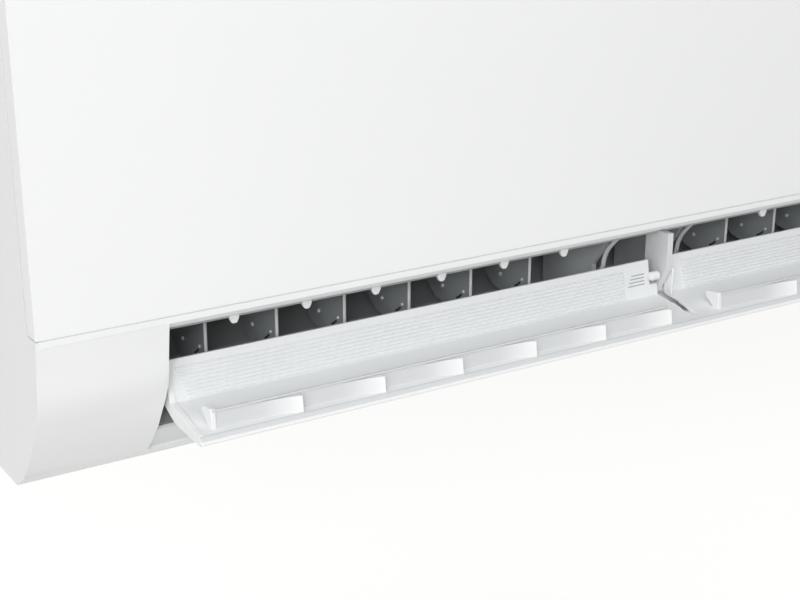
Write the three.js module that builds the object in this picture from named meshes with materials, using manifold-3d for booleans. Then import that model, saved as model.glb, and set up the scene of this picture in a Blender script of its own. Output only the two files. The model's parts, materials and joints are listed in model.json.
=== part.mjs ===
// Wall-hung mini split indoor unit, with its air flap open.
// Millimetres, +X to the unit's right as seen from the room, +Y towards the wall, +Z up.
// The origin is the centre of the mounting plate's back, which lies on the wall.
// Sections are drawn as [depth, rise]: depth back from the front face, rise above the panel seam.
import * as THREE from 'three';
import { mergeVertices } from 'three/addons/utils/BufferGeometryUtils.js';
import Module from 'manifold-3d';

const wasm = await Module();
wasm.setup();

// ---- overall sizes -------------------------------------------------------------------------
const BODY_WIDTH = 810;
const BODY_DEPTH = 200;
const BODY_HEIGHT = 290;
const LOWER_ZONE = 104;            // seam down to the underside at the wall
const WALL = 2.5;                  // casing thickness
const GAP = 0.4;                   // clearance between parts that meet
const SEAM_GAP = 0.8;              // shadow line between front panel and lower body

const LEFT_MARGIN = 66;            // lower body left of the outlet
const RIGHT_MARGIN = 106;          // lower body right of it, in front of the electrics
const OUTLET_LENGTH = BODY_WIDTH - LEFT_MARGIN - RIGHT_MARGIN;
const OUTLET_LEFT = -BODY_WIDTH / 2 + LEFT_MARGIN;
const OUTLET_RIGHT = OUTLET_LEFT + OUTLET_LENGTH;
const OUTLET_MIDDLE = (OUTLET_LEFT + OUTLET_RIGHT) / 2;
const BODY_LEFT = -BODY_WIDTH / 2;
const BODY_RIGHT = BODY_WIDTH / 2;
const TOP_RISE = BODY_HEIGHT - LOWER_ZONE;
const SEAM_HEIGHT = LOWER_ZONE - BODY_HEIGHT / 2;
const FAN_CENTRE = [BODY_DEPTH * 0.54, 30];
const FAN_RADIUS = BODY_DEPTH * 0.24;

// ---- mounting plate ------------------------------------------------------------------------
const PLATE_WIDTH = 560;
const PLATE_HEIGHT = 200;
const PLATE_THICKNESS = 1.2;
const PLATE_FLANGE = 5;
const PLATE_HOLE_RADIUS = 3.5;
const PLATE_WINDOW = [76, 70];
const PLATE_HOOK_WIDTH = 30;
const CHASSIS_BACK = BODY_DEPTH - PLATE_FLANGE - GAP;   // depth of the chassis' rear face
const CHASSIS_FRONT = 24;              // end walls' front edge, from the fan's axis
const CHASSIS_SHELF = 40;              // above the fan's axis
const CHASSIS_TROUGH = 58;             // start of the rear trough, behind the fan's axis
const CHASSIS_FOOT = 8;                // above the underside

// ---- lower body section --------------------------------------------------------------------
const RIDGE = [41, -87];               // chin ridge, lower end of the outlet's cut
const CHIN = [53, -95.5];
const FASCIA = [[0, 0], [1.8, -9], [4.1, -23], [6.6, -38], [15.8, -53.7], [25.8, -69.7], RIDGE];
const FASCIA_STEPS = 10;
const SILL_TOP = [27.5, -70.5];
const TRIM_DROP = 3.7;                 // white face of the trim
const TRIM_LIP = [5, -7.2];
const TRIM_BACK = [11.4, -8.6];
const CHEEK_DEPTH = 41;

// ---- flap ----------------------------------------------------------------------------------
const FLAP_PIVOT = [18.5, -48.3];
const FLAP_OPEN = 82;                  // degrees from closed to the pose shown
const FLAP_END_GAP = 2.6;
const FLAP_SKIN = 1.8;
const FLAP_OUTER = [[2.4, -5.8], [1.4, -10], [3.4, -23.5], [6, -38], [11.4, -48.6], [22.2, -65]];
const FLAP_LIP = [[5.8, -8.2], [7.6, -18.5], [11.2, -27.7], [15.1, -43.2]];
const FLAP_TIP = [37, -44.2];
const FLAP_END_PLATE = 2.4;
const RAIL_RISE = -14.6;               // long rail behind the free edge, flap closed
const RAIL_REACH = 8.4;
const RAIL_THICKNESS = 1.6;
const RAIL_START = 10;                 // from the flap's end
const RAIL_STOP = 20;                  // from the centre arm
const BLOCK_PITCH = 47.6;
const BLOCK_WIDTH = 9.5;
const BLOCK_HEIGHT = 5;
const PIN_RADIUS = 1.6;
const CENTRE_PIN_RADIUS = 1.5;
const BOSS_RADIUS = 4;
const BOSS_LENGTH = 9;

// ---- centre support arm --------------------------------------------------------------------
const ARM_THICKNESS = 4;
const ARM_FRONT = 8;
const ARM_BACK = 28;
const ARM_TAPER_RISE = -34;
const ARM_FOOT_RADIUS = 3.8;
const ARM_SLOT = 1;                    // clearance each side in the flap

// ---- outlet duct, vanes and link rods ------------------------------------------------------
const DUCT_SKIN = 2;
const DUCT_REAR = FAN_CENTRE[0] - 10;
const CEILING_FRONT = [15.6, -12];
const CEILING_REAR = [70, -11];
const FLOOR_REAR = [FAN_CENTRE[0], -62];
const GUIDE_OFFSET = 28.5;             // fixed guide walls each side of the arm
const GUIDE_FRONT = [[30, -12], [32, -22], [43, -36]];
const GUIDE_BACK = [DUCT_REAR - 6, -30];
const GUIDE_THICKNESS = 3;
const VANES_PER_SIDE = 6;
const VANE_NEAREST = 76.4;             // innermost vane from the arm
const VANE_END_ROOM = 36.1;            // outermost vane from the outlet's end
const VANE_PITCH = (OUTLET_LENGTH / 2 - VANE_NEAREST - VANE_END_ROOM) / (VANES_PER_SIDE - 1);
const VANE_THICKNESS = 1.6;
const VANE_FRONT = 42;
const VANE_TOP = -13;
const VANE_BOTTOM = -53;
const VANE_TAIL = [[64, VANE_TOP], [90, -36], [89.5, -44], [80, -51], [68, VANE_BOTTOM]];
const VANE_PIVOT = 62;
const VANE_PIN_RADIUS = 1.5;
const LINK_DEPTH = 51;
const LINK_SECTION = [5, 1.8];
const LINK_PIN_RADIUS = 1.1;
const CARRIER_WIDTH = 7;
const CARRIER_TOP = -58.2;
const CARRIER_THICKNESS = 2.5;
const TAB_DEPTH = 17.5;
const TAB_WIDTH = 5;
const TAB_THICKNESS = 1.8;
const TAB_DROP = 4.6;
const TAB_OFFSET = 5.2;                // beside the vane

// ---- fan, scroll and motor -----------------------------------------------------------------
const FAN_BLADES = 18;
const FAN_BLADE_CHORD = 12;
const FAN_BLADE_THICKNESS = 1.2;
const FAN_END_CLEARANCE = 5;
const FAN_SECTIONS = 3;
const FAN_DISC = 2;
const SHAFT_RADIUS = 4;
const SCROLL_SKIN = 2.5;
const SCROLL_CLEARANCE = 5;
const SCROLL_START = 20;               // degrees above the horizontal, behind the fan
const BEARING_RADIUS = 7;
const RUBBER_RADIUS = 14;
const MOTOR_RADIUS = FAN_RADIUS - 6;
const MOTOR_LENGTH = 54;
const MOTOR_OFFSET = 8;                // from the chassis' right wall
const MOTOR_STRAP = 3;
const MOTOR_STRAP_WIDTH = 24;

// ---- heat exchanger ------------------------------------------------------------------------
const COIL_THICKNESS = 26;
const COIL_FRONT = [[37, -2], [37, 84]];
const COIL_TOP = [[36, 98], [BODY_DEPTH * 0.47, TOP_RISE - 22.6]];
const COIL_REAR = [[BODY_DEPTH * 0.59, TOP_RISE - 27], [BODY_DEPTH * 0.86, 92.5]];
const COIL_PLATE = 1;
const TUBE_RADIUS = 3.5;
const BEND_RADIUS = 9;

// ---- drain pan -----------------------------------------------------------------------------
const PAN_SKIN = 3;
const PAN_RIM = 15;
const PAN_BACK = [[61, 0], [57, 12], [54, PAN_RIM]];
const PAN_TROUGH_BACK = 52;
const SPIGOT_RADIUS = 8;
const SPIGOT_CENTRE = [43, -0.5];

// ---- front panel, grille and filters -------------------------------------------------------
const PANEL_THICKNESS = 3;
const PANEL_RETURN = 11;
const PANEL_TOP_RETURN = 8;
const PANEL_HINGE = [8, TOP_RISE - 8];
const HINGE_RADIUS = 2;
const HINGE_EAR_RADIUS = 4.4;
const HINGE_INSET = 8;                 // hinge lug from the panel's end
const FRAME_FRONT = 13;                // front of the side walls above the seam
const FRAME_NOTCH = 3;                 // their top corner, clear of the open panel
const FILTER_DEPTH = 16;
const FILTER_THICKNESS = 2.4;
const FILTER_BORDER = 8;
const FILTER_BOTTOM = 20;
const FILTER_GRID = [6, 4];
const ROOF_FRONT = 21;
const GRILLE_FRONT = 32;
const GRILLE_BACK = BODY_DEPTH - 22;
const GRILLE_MARGIN = 40;
const GRILLE_SLOTS = 9;
const GRILLE_BAYS = 4;
const GRILLE_BAR = 7;

// ---- electrics -----------------------------------------------------------------------------
const BOX_OFFSET = 30;                 // control box from the chassis' right wall
const BOX_FRONT = 17;
const BOX_BACK = 58;
const BOX_BOTTOM = 22;
const BOX_TOP = TOP_RISE - 26;
const BOX_SKIN = 2;
const BUTTON_RADIUS = 4;
const BUTTON_STAND = 2;
// Relay, transformer, filter and connector: shares of the board's width and height, then reach.
const BOARD_BLOCKS = [[0.04, 0.39, 0.49, 0.69, 15], [0.57, 0.89, 0.52, 0.64, 12],
  [0.57, 0.82, 0.36, 0.43, 9], [0.04, 0.64, 0.81, 0.88, 8]];
const CAPACITOR_RADIUS = 8;
const TERMINAL_SIZE = [46, 24, 18];
const SCREW_RADIUS = 4;
const SCREW_SHANK = 1.8;
const SCREW_TIP = 14 - LOWER_ZONE;
const SCREW_DEPTH = BODY_DEPTH - 24;
const SCREW_PLACES = [BODY_LEFT + 105, OUTLET_MIDDLE - 40];
const LENS_SIZE = [24, 12];
const LENS_RISE = -14;
const LENS_X = OUTLET_RIGHT + 56;
const RECEIVER_DEPTH = 13;
const FLAP_MOTOR_RADIUS = 10.3;
const FLAP_MOTOR_LENGTH = 15;
const FLAP_MOTOR_OFFSET = [7, 4.1];

// ---- refrigerant pipes ---------------------------------------------------------------------
const GAS_RADIUS = 4.8;
const LIQUID_RADIUS = 3.2;
const GAS_RISE = -82;
const LIQUID_RISE = -64;
const GAS_TURN = OUTLET_RIGHT + 19;    // where each pipe drops in front of the motor
const LIQUID_TURN = OUTLET_RIGHT + 9;
const GAS_START = 40;
const LIQUID_START = 24;
const PIPE_END = OUTLET_MIDDLE + 120;
const PIPE_DROP_DEPTH = 59;
const PIPE_CROSS_RISE = -26;
const PIPE_BACK = CHASSIS_BACK - WALL - 10;

// ---- small helpers -------------------------------------------------------------------------
const unit = new THREE.Group();
const cabinet = new THREE.Group();     // carries the [depth, rise] frame
cabinet.position.set(0, -BODY_DEPTH, SEAM_HEIGHT);
unit.add(cabinet);

const finish = (color, roughness, metalness = 0) =>
  new THREE.MeshStandardMaterial({ color, roughness, metalness });
const WHITE = finish(0xf1f1ef, 0.35);
const SATIN = finish(0xe2e3e2, 0.45);
const DARK = finish(0x55585a, 0.6);
const BLACK = finish(0x2b2d2f, 0.55);
const STEEL = finish(0xa9adb0, 0.4, 0.9);
const ALUMINIUM = finish(0xc3c6c8, 0.4, 0.9);
const COPPER = finish(0xb56f4a, 0.35, 0.9);
const BRASS = finish(0xb99a52, 0.35, 0.9);
const FOAM = finish(0xdcdcd6, 0.9);
const BOARD = finish(0x2f6b45, 0.5);
const MESH = finish(0xb9bcbe, 0.7);
const RUBBER = finish(0x303234, 0.85);
const GREY = finish(0x9a9da0, 0.6);

function solidOf(geometry) {
  const bare = geometry.index ? geometry.toNonIndexed() : geometry.clone();
  bare.deleteAttribute('normal');
  bare.deleteAttribute('uv');
  const merged = mergeVertices(bare, 1e-4);
  const vertProperties = new Float32Array(merged.attributes.position.array);
  const triVerts = new Uint32Array(merged.index.array);
  return new wasm.Manifold(new wasm.Mesh({ numProp: 3, vertProperties, triVerts }));
}

function geometryOf(solid) {
  const mesh = solid.getMesh();
  const geometry = new THREE.BufferGeometry();
  geometry.setAttribute('position', new THREE.BufferAttribute(new Float32Array(mesh.vertProperties), 3));
  geometry.setIndex(new THREE.BufferAttribute(new Uint32Array(mesh.triVerts), 1));
  geometry.computeVertexNormals();
  return geometry;
}

function joined(...solids) {
  return solids.flat().reduce((whole, next) => whole.add(next));
}

function cut(solid, ...tools) {
  return tools.flat().reduce((rest, tool) => rest.subtract(tool), solid);
}

function piece(name, solid, material, parent = cabinet) {
  const mesh = new THREE.Mesh(geometryOf(solid), material);
  mesh.name = name;
  parent.add(mesh);
  return mesh;
}

// The section's depth and rise become Y and Z, and the extrusion runs along X.
const ALONG_X = new THREE.Matrix4().makeBasis(
  new THREE.Vector3(0, 1, 0), new THREE.Vector3(0, 0, 1), new THREE.Vector3(1, 0, 0));

function prism(outline, from, to, holes = []) {
  const shape = new THREE.Shape(outline.map(([depth, rise]) => new THREE.Vector2(depth, rise)));
  if (THREE.ShapeUtils.isClockWise(shape.getPoints())) {
    shape.curves.length = 0;
    shape.setFromPoints([...outline].reverse().map(([depth, rise]) => new THREE.Vector2(depth, rise)));
  }
  shape.holes = holes;
  const geometry = new THREE.ExtrudeGeometry(shape, { depth: to - from, bevelEnabled: false });
  geometry.applyMatrix4(ALONG_X);
  geometry.translate(from, 0, 0);
  return solidOf(geometry);
}

function block([x0, x1], [y0, y1], [z0, z1]) {
  const geometry = new THREE.BoxGeometry(x1 - x0, y1 - y0, z1 - z0);
  geometry.translate((x0 + x1) / 2, (y0 + y1) / 2, (z0 + z1) / 2);
  return solidOf(geometry);
}

function rodX(radius, from, to, [depth, rise], sides = 20) {
  const geometry = new THREE.CylinderGeometry(radius, radius, to - from, sides);
  geometry.rotateZ(Math.PI / 2);
  geometry.translate((from + to) / 2, depth, rise);
  return solidOf(geometry);
}

function rodY(radius, from, to, [x, rise], sides = 16) {
  const geometry = new THREE.CylinderGeometry(radius, radius, to - from, sides);
  geometry.translate(x, (from + to) / 2, rise);
  return solidOf(geometry);
}

function rodZ(radius, from, to, [x, depth], sides = 8) {
  const geometry = new THREE.CylinderGeometry(radius, radius, to - from, sides);
  geometry.rotateX(Math.PI / 2);
  geometry.translate(x, depth, (from + to) / 2);
  return solidOf(geometry);
}

// Points of a path, moved sideways by a distance to its left.
function offset(points, distance) {
  return points.map((point, i) => {
    const before = points[Math.max(i - 1, 0)];
    const after = points[Math.min(i + 1, points.length - 1)];
    const into = new THREE.Vector2(point[0] - before[0], point[1] - before[1]).normalize();
    const out = new THREE.Vector2(after[0] - point[0], after[1] - point[1]).normalize();
    const along = into.clone().add(out).normalize();
    const stretch = 1 / Math.max(along.dot(i === 0 ? out : into), 0.5);
    return [point[0] - along.y * distance * stretch, point[1] + along.x * distance * stretch];
  });
}

function ribbon(points, thickness) {
  return [...points, ...offset(points, thickness).reverse()];
}

function smooth(points, steps) {
  const curve = new THREE.SplineCurve(points.map(([depth, rise]) => new THREE.Vector2(depth, rise)));
  return curve.getPoints(steps).map((p) => [p.x, p.y]);
}

function tube(points, radius, steps, sides = 10) {
  const path = new THREE.CatmullRomCurve3(points.map((p) => new THREE.Vector3(...p)),
    false, 'catmullrom', 0.5);
  const section = new THREE.Shape();
  section.absarc(0, 0, radius, 0, Math.PI * 2, false);
  const geometry = new THREE.ExtrudeGeometry(section,
    { steps, extrudePath: path, curveSegments: sides / 2 });
  return solidOf(geometry);
}

function circleHole([depth, rise], radius) {
  const hole = new THREE.Path();
  hole.absarc(depth, rise, radius, 0, Math.PI * 2, true);
  return hole;
}

const fascia = smooth(FASCIA, FASCIA_STEPS);

// Outer face of the casing's underside.
function frameFloor(depth) {
  return CHIN[1] - (LOWER_ZONE + CHIN[1]) * (depth - CHIN[0]) / (BODY_DEPTH - 2 - CHIN[0]);
}

// Depth of the lower body's outer face at a rise below the seam.
function fasciaDepth(rise) {
  const below = fascia.findIndex((point) => point[1] <= rise);
  const [d0, r0] = fascia[below - 1];
  const [d1, r1] = fascia[below];
  return d0 + (d1 - d0) * (rise - r0) / (r1 - r0);
}

// ---- wall plate and chassis ----------------------------------------------------------------
function mountingPlate() {
  const middle = -SEAM_HEIGHT;
  const bottom = middle - PLATE_HEIGHT / 2;
  const top = middle + PLATE_HEIGHT / 2;
  const half = PLATE_WIDTH / 2;
  const back = BODY_DEPTH;
  const sheet = block([-half, half], [back - PLATE_THICKNESS, back], [bottom, top]);
  const flange = (rise) =>
    block([-half, half], [back - PLATE_FLANGE, back], [rise, rise + PLATE_THICKNESS]);
  const hook = (x) => joined(
    block([x, x + PLATE_HOOK_WIDTH], [back - PLATE_FLANGE, back], [top - PLATE_THICKNESS, top]),
    block([x, x + PLATE_HOOK_WIDTH], [back - PLATE_FLANGE, back - PLATE_FLANGE + PLATE_THICKNESS],
      [top - PLATE_THICKNESS, top + PLATE_FLANGE]));
  const windows = [-1, 1].map((side) => {
    const x = side * half / 2;
    return block([x - PLATE_WINDOW[0] / 2, x + PLATE_WINDOW[0] / 2], [back - WALL, back + 1],
      [middle - PLATE_WINDOW[1] / 2, middle + PLATE_WINDOW[1] / 2]);
  });
  const holes = [-0.9, -0.1, 0.1, 0.9].flatMap((share) => [bottom + 20, top - 20].map((rise) =>
    rodY(PLATE_HOLE_RADIUS, back - WALL, back + 1, [share * half, rise])));
  const body = joined(sheet, flange(bottom), flange(top - PLATE_THICKNESS), hook(-half + 40),
    hook(half - 40 - PLATE_HOOK_WIDTH));
  return cut(body, windows, holes);
}

function rearChassis() {
  const back = CHASSIS_BACK - WALL;
  const [fanDepth, fanRise] = FAN_CENTRE;
  const shelf = fanRise + CHASSIS_SHELF;
  const foot = CHASSIS_FOOT - LOWER_ZONE;
  const front = fanDepth - CHASSIS_FRONT;
  const wallOutline = [[front, fanRise - 26], [front, shelf - 10], [fanDepth + 42, shelf - 10],
    [back + 1, shelf], [back + 1, foot], [fanDepth + 10, foot], [fanDepth + 10, FLOOR_REAR[1] - 4],
    [fanDepth - 4, FLOOR_REAR[1] + 22]];
  const leftHole = circleHole(FAN_CENTRE, RUBBER_RADIUS + GAP);
  const rightHole = circleHole(FAN_CENTRE, RUBBER_RADIUS + 2);
  const backWall = block([BODY_LEFT + WALL + 2, BODY_RIGHT - WALL - 2], [back, CHASSIS_BACK],
    [foot, TOP_RISE - 8]);
  const left = prism(wallOutline, OUTLET_LEFT - WALL, OUTLET_LEFT, [leftHole]);
  const right = prism(wallOutline, OUTLET_RIGHT, OUTLET_RIGHT + WALL, [rightHole]);
  const rearTrough = block([OUTLET_LEFT, OUTLET_RIGHT], [fanDepth + CHASSIS_TROUGH, back],
    [shelf - WALL, shelf]);
  const pipeNotch = block([OUTLET_RIGHT - 1, OUTLET_RIGHT + WALL + 1], [PIPE_BACK - 8, back],
    [LIQUID_RISE - 28, LIQUID_RISE + 8]);
  const feet = SCREW_PLACES.map((x) =>
    block([x - 8, x + 8], [SCREW_DEPTH - 8, back + 1],
      [frameFloor(SCREW_DEPTH + 12) + WALL + GAP + 0.8, foot + 4]));
  const footHoles = SCREW_PLACES.map((x) =>
    rodZ(SCREW_SHANK + GAP, -LOWER_ZONE, foot + 5, [x, SCREW_DEPTH]));
  return cut(joined(backWall, left, right, rearTrough, feet), pipeNotch, footHoles);
}

// Inner face of the scroll behind the fan: a spiral that opens towards the floor.
function scrollPath() {
  const steps = 12;
  const growth = FAN_CENTRE[1] - FLOOR_REAR[1] - FAN_RADIUS - SCROLL_CLEARANCE;
  const sweep = SCROLL_START + 90;
  const points = [];
  for (let i = 0; i <= steps; i += 1) {
    const turned = sweep * i / steps;
    const angle = THREE.MathUtils.degToRad(SCROLL_START - turned);
    const radius = FAN_RADIUS + SCROLL_CLEARANCE + growth * turned / sweep;
    points.push([FAN_CENTRE[0] + radius * Math.cos(angle), FAN_CENTRE[1] + radius * Math.sin(angle)]);
  }
  return points;
}

function floorRise(depth) {
  const share = (depth - SILL_TOP[0]) / (FLOOR_REAR[0] - SILL_TOP[0]);
  return SILL_TOP[1] + (FLOOR_REAR[1] - SILL_TOP[1]) * share - GAP;
}

function scrollCase() {
  const path = [...scrollPath(), [DUCT_REAR + GAP, floorRise(DUCT_REAR + GAP)]];
  return prism(ribbon(path, SCROLL_SKIN), OUTLET_LEFT + GAP, OUTLET_RIGHT - GAP);
}

// ---- outlet --------------------------------------------------------------------------------
function outletDuct() {
  const front = CHEEK_DEPTH + GAP;
  const cheekOutline = [[front, floorRise(front) - DUCT_SKIN],
    [DUCT_REAR, floorRise(DUCT_REAR) - DUCT_SKIN],
    [DUCT_REAR, -30], [CEILING_REAR[0], CEILING_REAR[1] - GAP], [front, CEILING_REAR[1] - GAP - 0.3]];
  const floorFront = SILL_TOP[0] + 2 * WALL + 0.5;
  const floor = prism(ribbon([[floorFront, floorRise(floorFront)],
    [DUCT_REAR, floorRise(DUCT_REAR)]], -DUCT_SKIN),
    OUTLET_LEFT + GAP, OUTLET_RIGHT - GAP);
  const left = prism(cheekOutline, OUTLET_LEFT + GAP, OUTLET_LEFT + GAP + DUCT_SKIN);
  const right = prism(cheekOutline, OUTLET_RIGHT - GAP - DUCT_SKIN, OUTLET_RIGHT - GAP);
  const guideOutline = [[front, floorRise(CHEEK_DEPTH) - 1], [GUIDE_BACK[0], floorRise(GUIDE_BACK[0]) - 1],
    GUIDE_BACK, [CEILING_REAR[0], CEILING_REAR[1] - GAP], ...GUIDE_FRONT];
  const guides = [-1, 1].map((side) => {
    const x = OUTLET_MIDDLE + side * GUIDE_OFFSET;
    return prism(guideOutline, x - GUIDE_THICKNESS / 2, x + GUIDE_THICKNESS / 2);
  });
  return joined(floor, left, right, guides);
}

function vaneX(side, index) {
  return OUTLET_MIDDLE + side * (VANE_NEAREST + VANE_PITCH * index);
}

// Each side's vanes stand in a carrier bar of their own, clear of the fixed guide walls.
function sideCarrier(side) {
  const bottom = CARRIER_TOP - CARRIER_THICKNESS;
  const inner = VANE_NEAREST - 14;
  const outer = VANE_NEAREST + VANE_PITCH * (VANES_PER_SIDE - 1) + 12;
  const ends = [OUTLET_MIDDLE + side * inner, OUTLET_MIDDLE + side * outer].sort((a, b) => a - b);
  const bar = block(ends, [VANE_PIVOT - CARRIER_WIDTH / 2, VANE_PIVOT + CARRIER_WIDTH / 2],
    [bottom, CARRIER_TOP]);
  const legs = Array.from({ length: VANES_PER_SIDE - 1 }, (_, index) => {
    const x = vaneX(side, index + 0.5);
    return block([x - 2, x + 2], [VANE_PIVOT - 3, VANE_PIVOT + 3],
      [floorRise(VANE_PIVOT + 3) + GAP, bottom + 0.5]);
  });
  const sockets = Array.from({ length: VANES_PER_SIDE }, (_, index) =>
    rodZ(VANE_PIN_RADIUS + GAP, bottom - 1, CARRIER_TOP + 1, [vaneX(side, index), VANE_PIVOT]));
  return cut(joined(bar, legs), sockets);
}

function vane() {
  const front = VANE_FRONT - VANE_PIVOT;
  const tail = VANE_TAIL.map(([depth, rise]) => [depth - VANE_PIVOT, rise]);
  const outline = [[front, VANE_TOP], ...tail, [front, VANE_BOTTOM]];
  const half = VANE_THICKNESS / 2;
  const link = LINK_DEPTH - VANE_PIVOT;
  return joined(
    prism(outline, -half, half),
    rodZ(VANE_PIN_RADIUS, VANE_TOP - 3, CEILING_REAR[1] + 1.6, [0, 0]),
    rodZ(VANE_PIN_RADIUS, CARRIER_TOP - CARRIER_THICKNESS, VANE_BOTTOM + 4, [0, 0]),
    rodZ(LINK_PIN_RADIUS, CARRIER_TOP + 0.4, VANE_BOTTOM + 3, [0, link], 10));
}

// The rod is drawn about its first peg hole, above the innermost vane's peg.
function linkRod(side) {
  const top = VANE_BOTTOM - 1.2;
  const bottom = top - LINK_SECTION[1];
  const reach = VANE_PITCH * (VANES_PER_SIDE - 1);
  const ends = side > 0 ? [-5, reach + 5] : [-reach - 5, 5];
  const bar = block(ends, [-LINK_SECTION[0] / 2, LINK_SECTION[0] / 2], [bottom, top]);
  const holes = Array.from({ length: VANES_PER_SIDE }, (_, index) =>
    rodZ(LINK_PIN_RADIUS + GAP, bottom - 1, top + 1, [side * VANE_PITCH * index, 0], 10));
  return cut(bar, holes);
}

function supportArm() {
  const foot = [];
  const start = Math.PI * 0.08;
  for (let i = 0; i <= 6; i += 1) {
    const angle = start - (Math.PI + 2 * start) * i / 6;
    foot.push([FLAP_PIVOT[0] + ARM_FOOT_RADIUS * Math.cos(angle),
      FLAP_PIVOT[1] + ARM_FOOT_RADIUS * Math.sin(angle)]);
  }
  const root = CEILING_FRONT[1] - GAP;
  const outline = [[ARM_BACK, root], [ARM_BACK, -41], ...foot, [ARM_FRONT, ARM_TAPER_RISE],
    [ARM_FRONT, root]];
  const half = ARM_THICKNESS / 2;
  return prism(outline, OUTLET_MIDDLE - half, OUTLET_MIDDLE + half,
    [circleHole(FLAP_PIVOT, CENTRE_PIN_RADIUS + GAP)]);
}

// Small tabs under the pan's front edge, one beside each vane, in one piece with the pan.
function ceilingTab(x) {
  const wedge = new THREE.Shape([new THREE.Vector2(-TAB_WIDTH / 2, 1), new THREE.Vector2(0, -TAB_DROP),
    new THREE.Vector2(TAB_WIDTH / 2, 1)]);
  const geometry = new THREE.ExtrudeGeometry(wedge, { depth: TAB_THICKNESS, bevelEnabled: false });
  geometry.rotateX(Math.PI / 2);
  geometry.translate(x, TAB_DEPTH + TAB_THICKNESS / 2, CEILING_FRONT[1]);
  return solidOf(geometry);
}

function drainPan() {
  const [frontDepth, bottom] = CEILING_FRONT;
  const [rearDepth, rearRise] = CEILING_REAR;
  const outline = [[frontDepth, bottom], [rearDepth, rearRise], ...PAN_BACK,
    [PAN_TROUGH_BACK, PAN_RIM], [PAN_TROUGH_BACK, bottom + PAN_SKIN + 1],
    [frontDepth + PAN_SKIN, bottom + PAN_SKIN],
    [frontDepth + PAN_SKIN, PAN_RIM], [frontDepth, PAN_RIM]];
  const left = OUTLET_LEFT - 1;
  const right = OUTLET_RIGHT + 4;
  const trough = prism(outline, left, right);
  const ends = [left, right - PAN_SKIN].map((x) => prism([[frontDepth, bottom], [rearDepth, rearRise],
    PAN_BACK[0], [PAN_BACK[1][0], PAN_RIM - 4], [frontDepth, PAN_RIM - 4]], x, x + PAN_SKIN));
  const pinHoles = [-1, 1].flatMap((side) => Array.from({ length: VANES_PER_SIDE }, (_, index) =>
    rodZ(VANE_PIN_RADIUS + GAP, rearRise - 1, rearRise + 2.2, [vaneX(side, index), VANE_PIVOT])));
  const tabs = [-1, 1].flatMap((side) => Array.from({ length: VANES_PER_SIDE }, (_, index) =>
    ceilingTab(vaneX(side, index) + TAB_OFFSET)));
  const spigot = rodX(SPIGOT_RADIUS, right - 1, right + 14, SPIGOT_CENTRE, 16);
  const bore = rodX(SPIGOT_RADIUS - 2, right - PAN_SKIN - 1, right + 15, SPIGOT_CENTRE, 16);
  return cut(joined(trough, ends, tabs, spigot), pinHoles, bore);
}

// ---- flap, drawn closed ----------------------------------------------------------------------
const outerSkin = smooth(FLAP_OUTER, 9);
const innerFace = offset(outerSkin, FLAP_SKIN + GAP);
const flapLeft = OUTLET_LEFT + FLAP_END_GAP;
const flapRight = OUTLET_RIGHT - FLAP_END_GAP;

function flapOuter() {
  return prism(ribbon(outerSkin, FLAP_SKIN), flapLeft, flapRight);
}

function railPieces(from, to, firstBlock) {
  const root = FLAP_LIP[1][0] - 3;
  const rail = block([from, to], [root, root + 3 + RAIL_REACH],
    [RAIL_RISE - RAIL_THICKNESS, RAIL_RISE]);
  const count = Math.floor((to - firstBlock - BLOCK_WIDTH) / BLOCK_PITCH + 0.05) + 1;
  const reach = root + 2 + RAIL_REACH;
  const blocks = Array.from({ length: count }, (_, index) => {
    const x = firstBlock + index * BLOCK_PITCH;
    return block([x, Math.min(x + BLOCK_WIDTH, to)], [root, reach],
      [RAIL_RISE - 0.2, RAIL_RISE + BLOCK_HEIGHT]);
  });
  return [rail, blocks];
}

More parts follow.
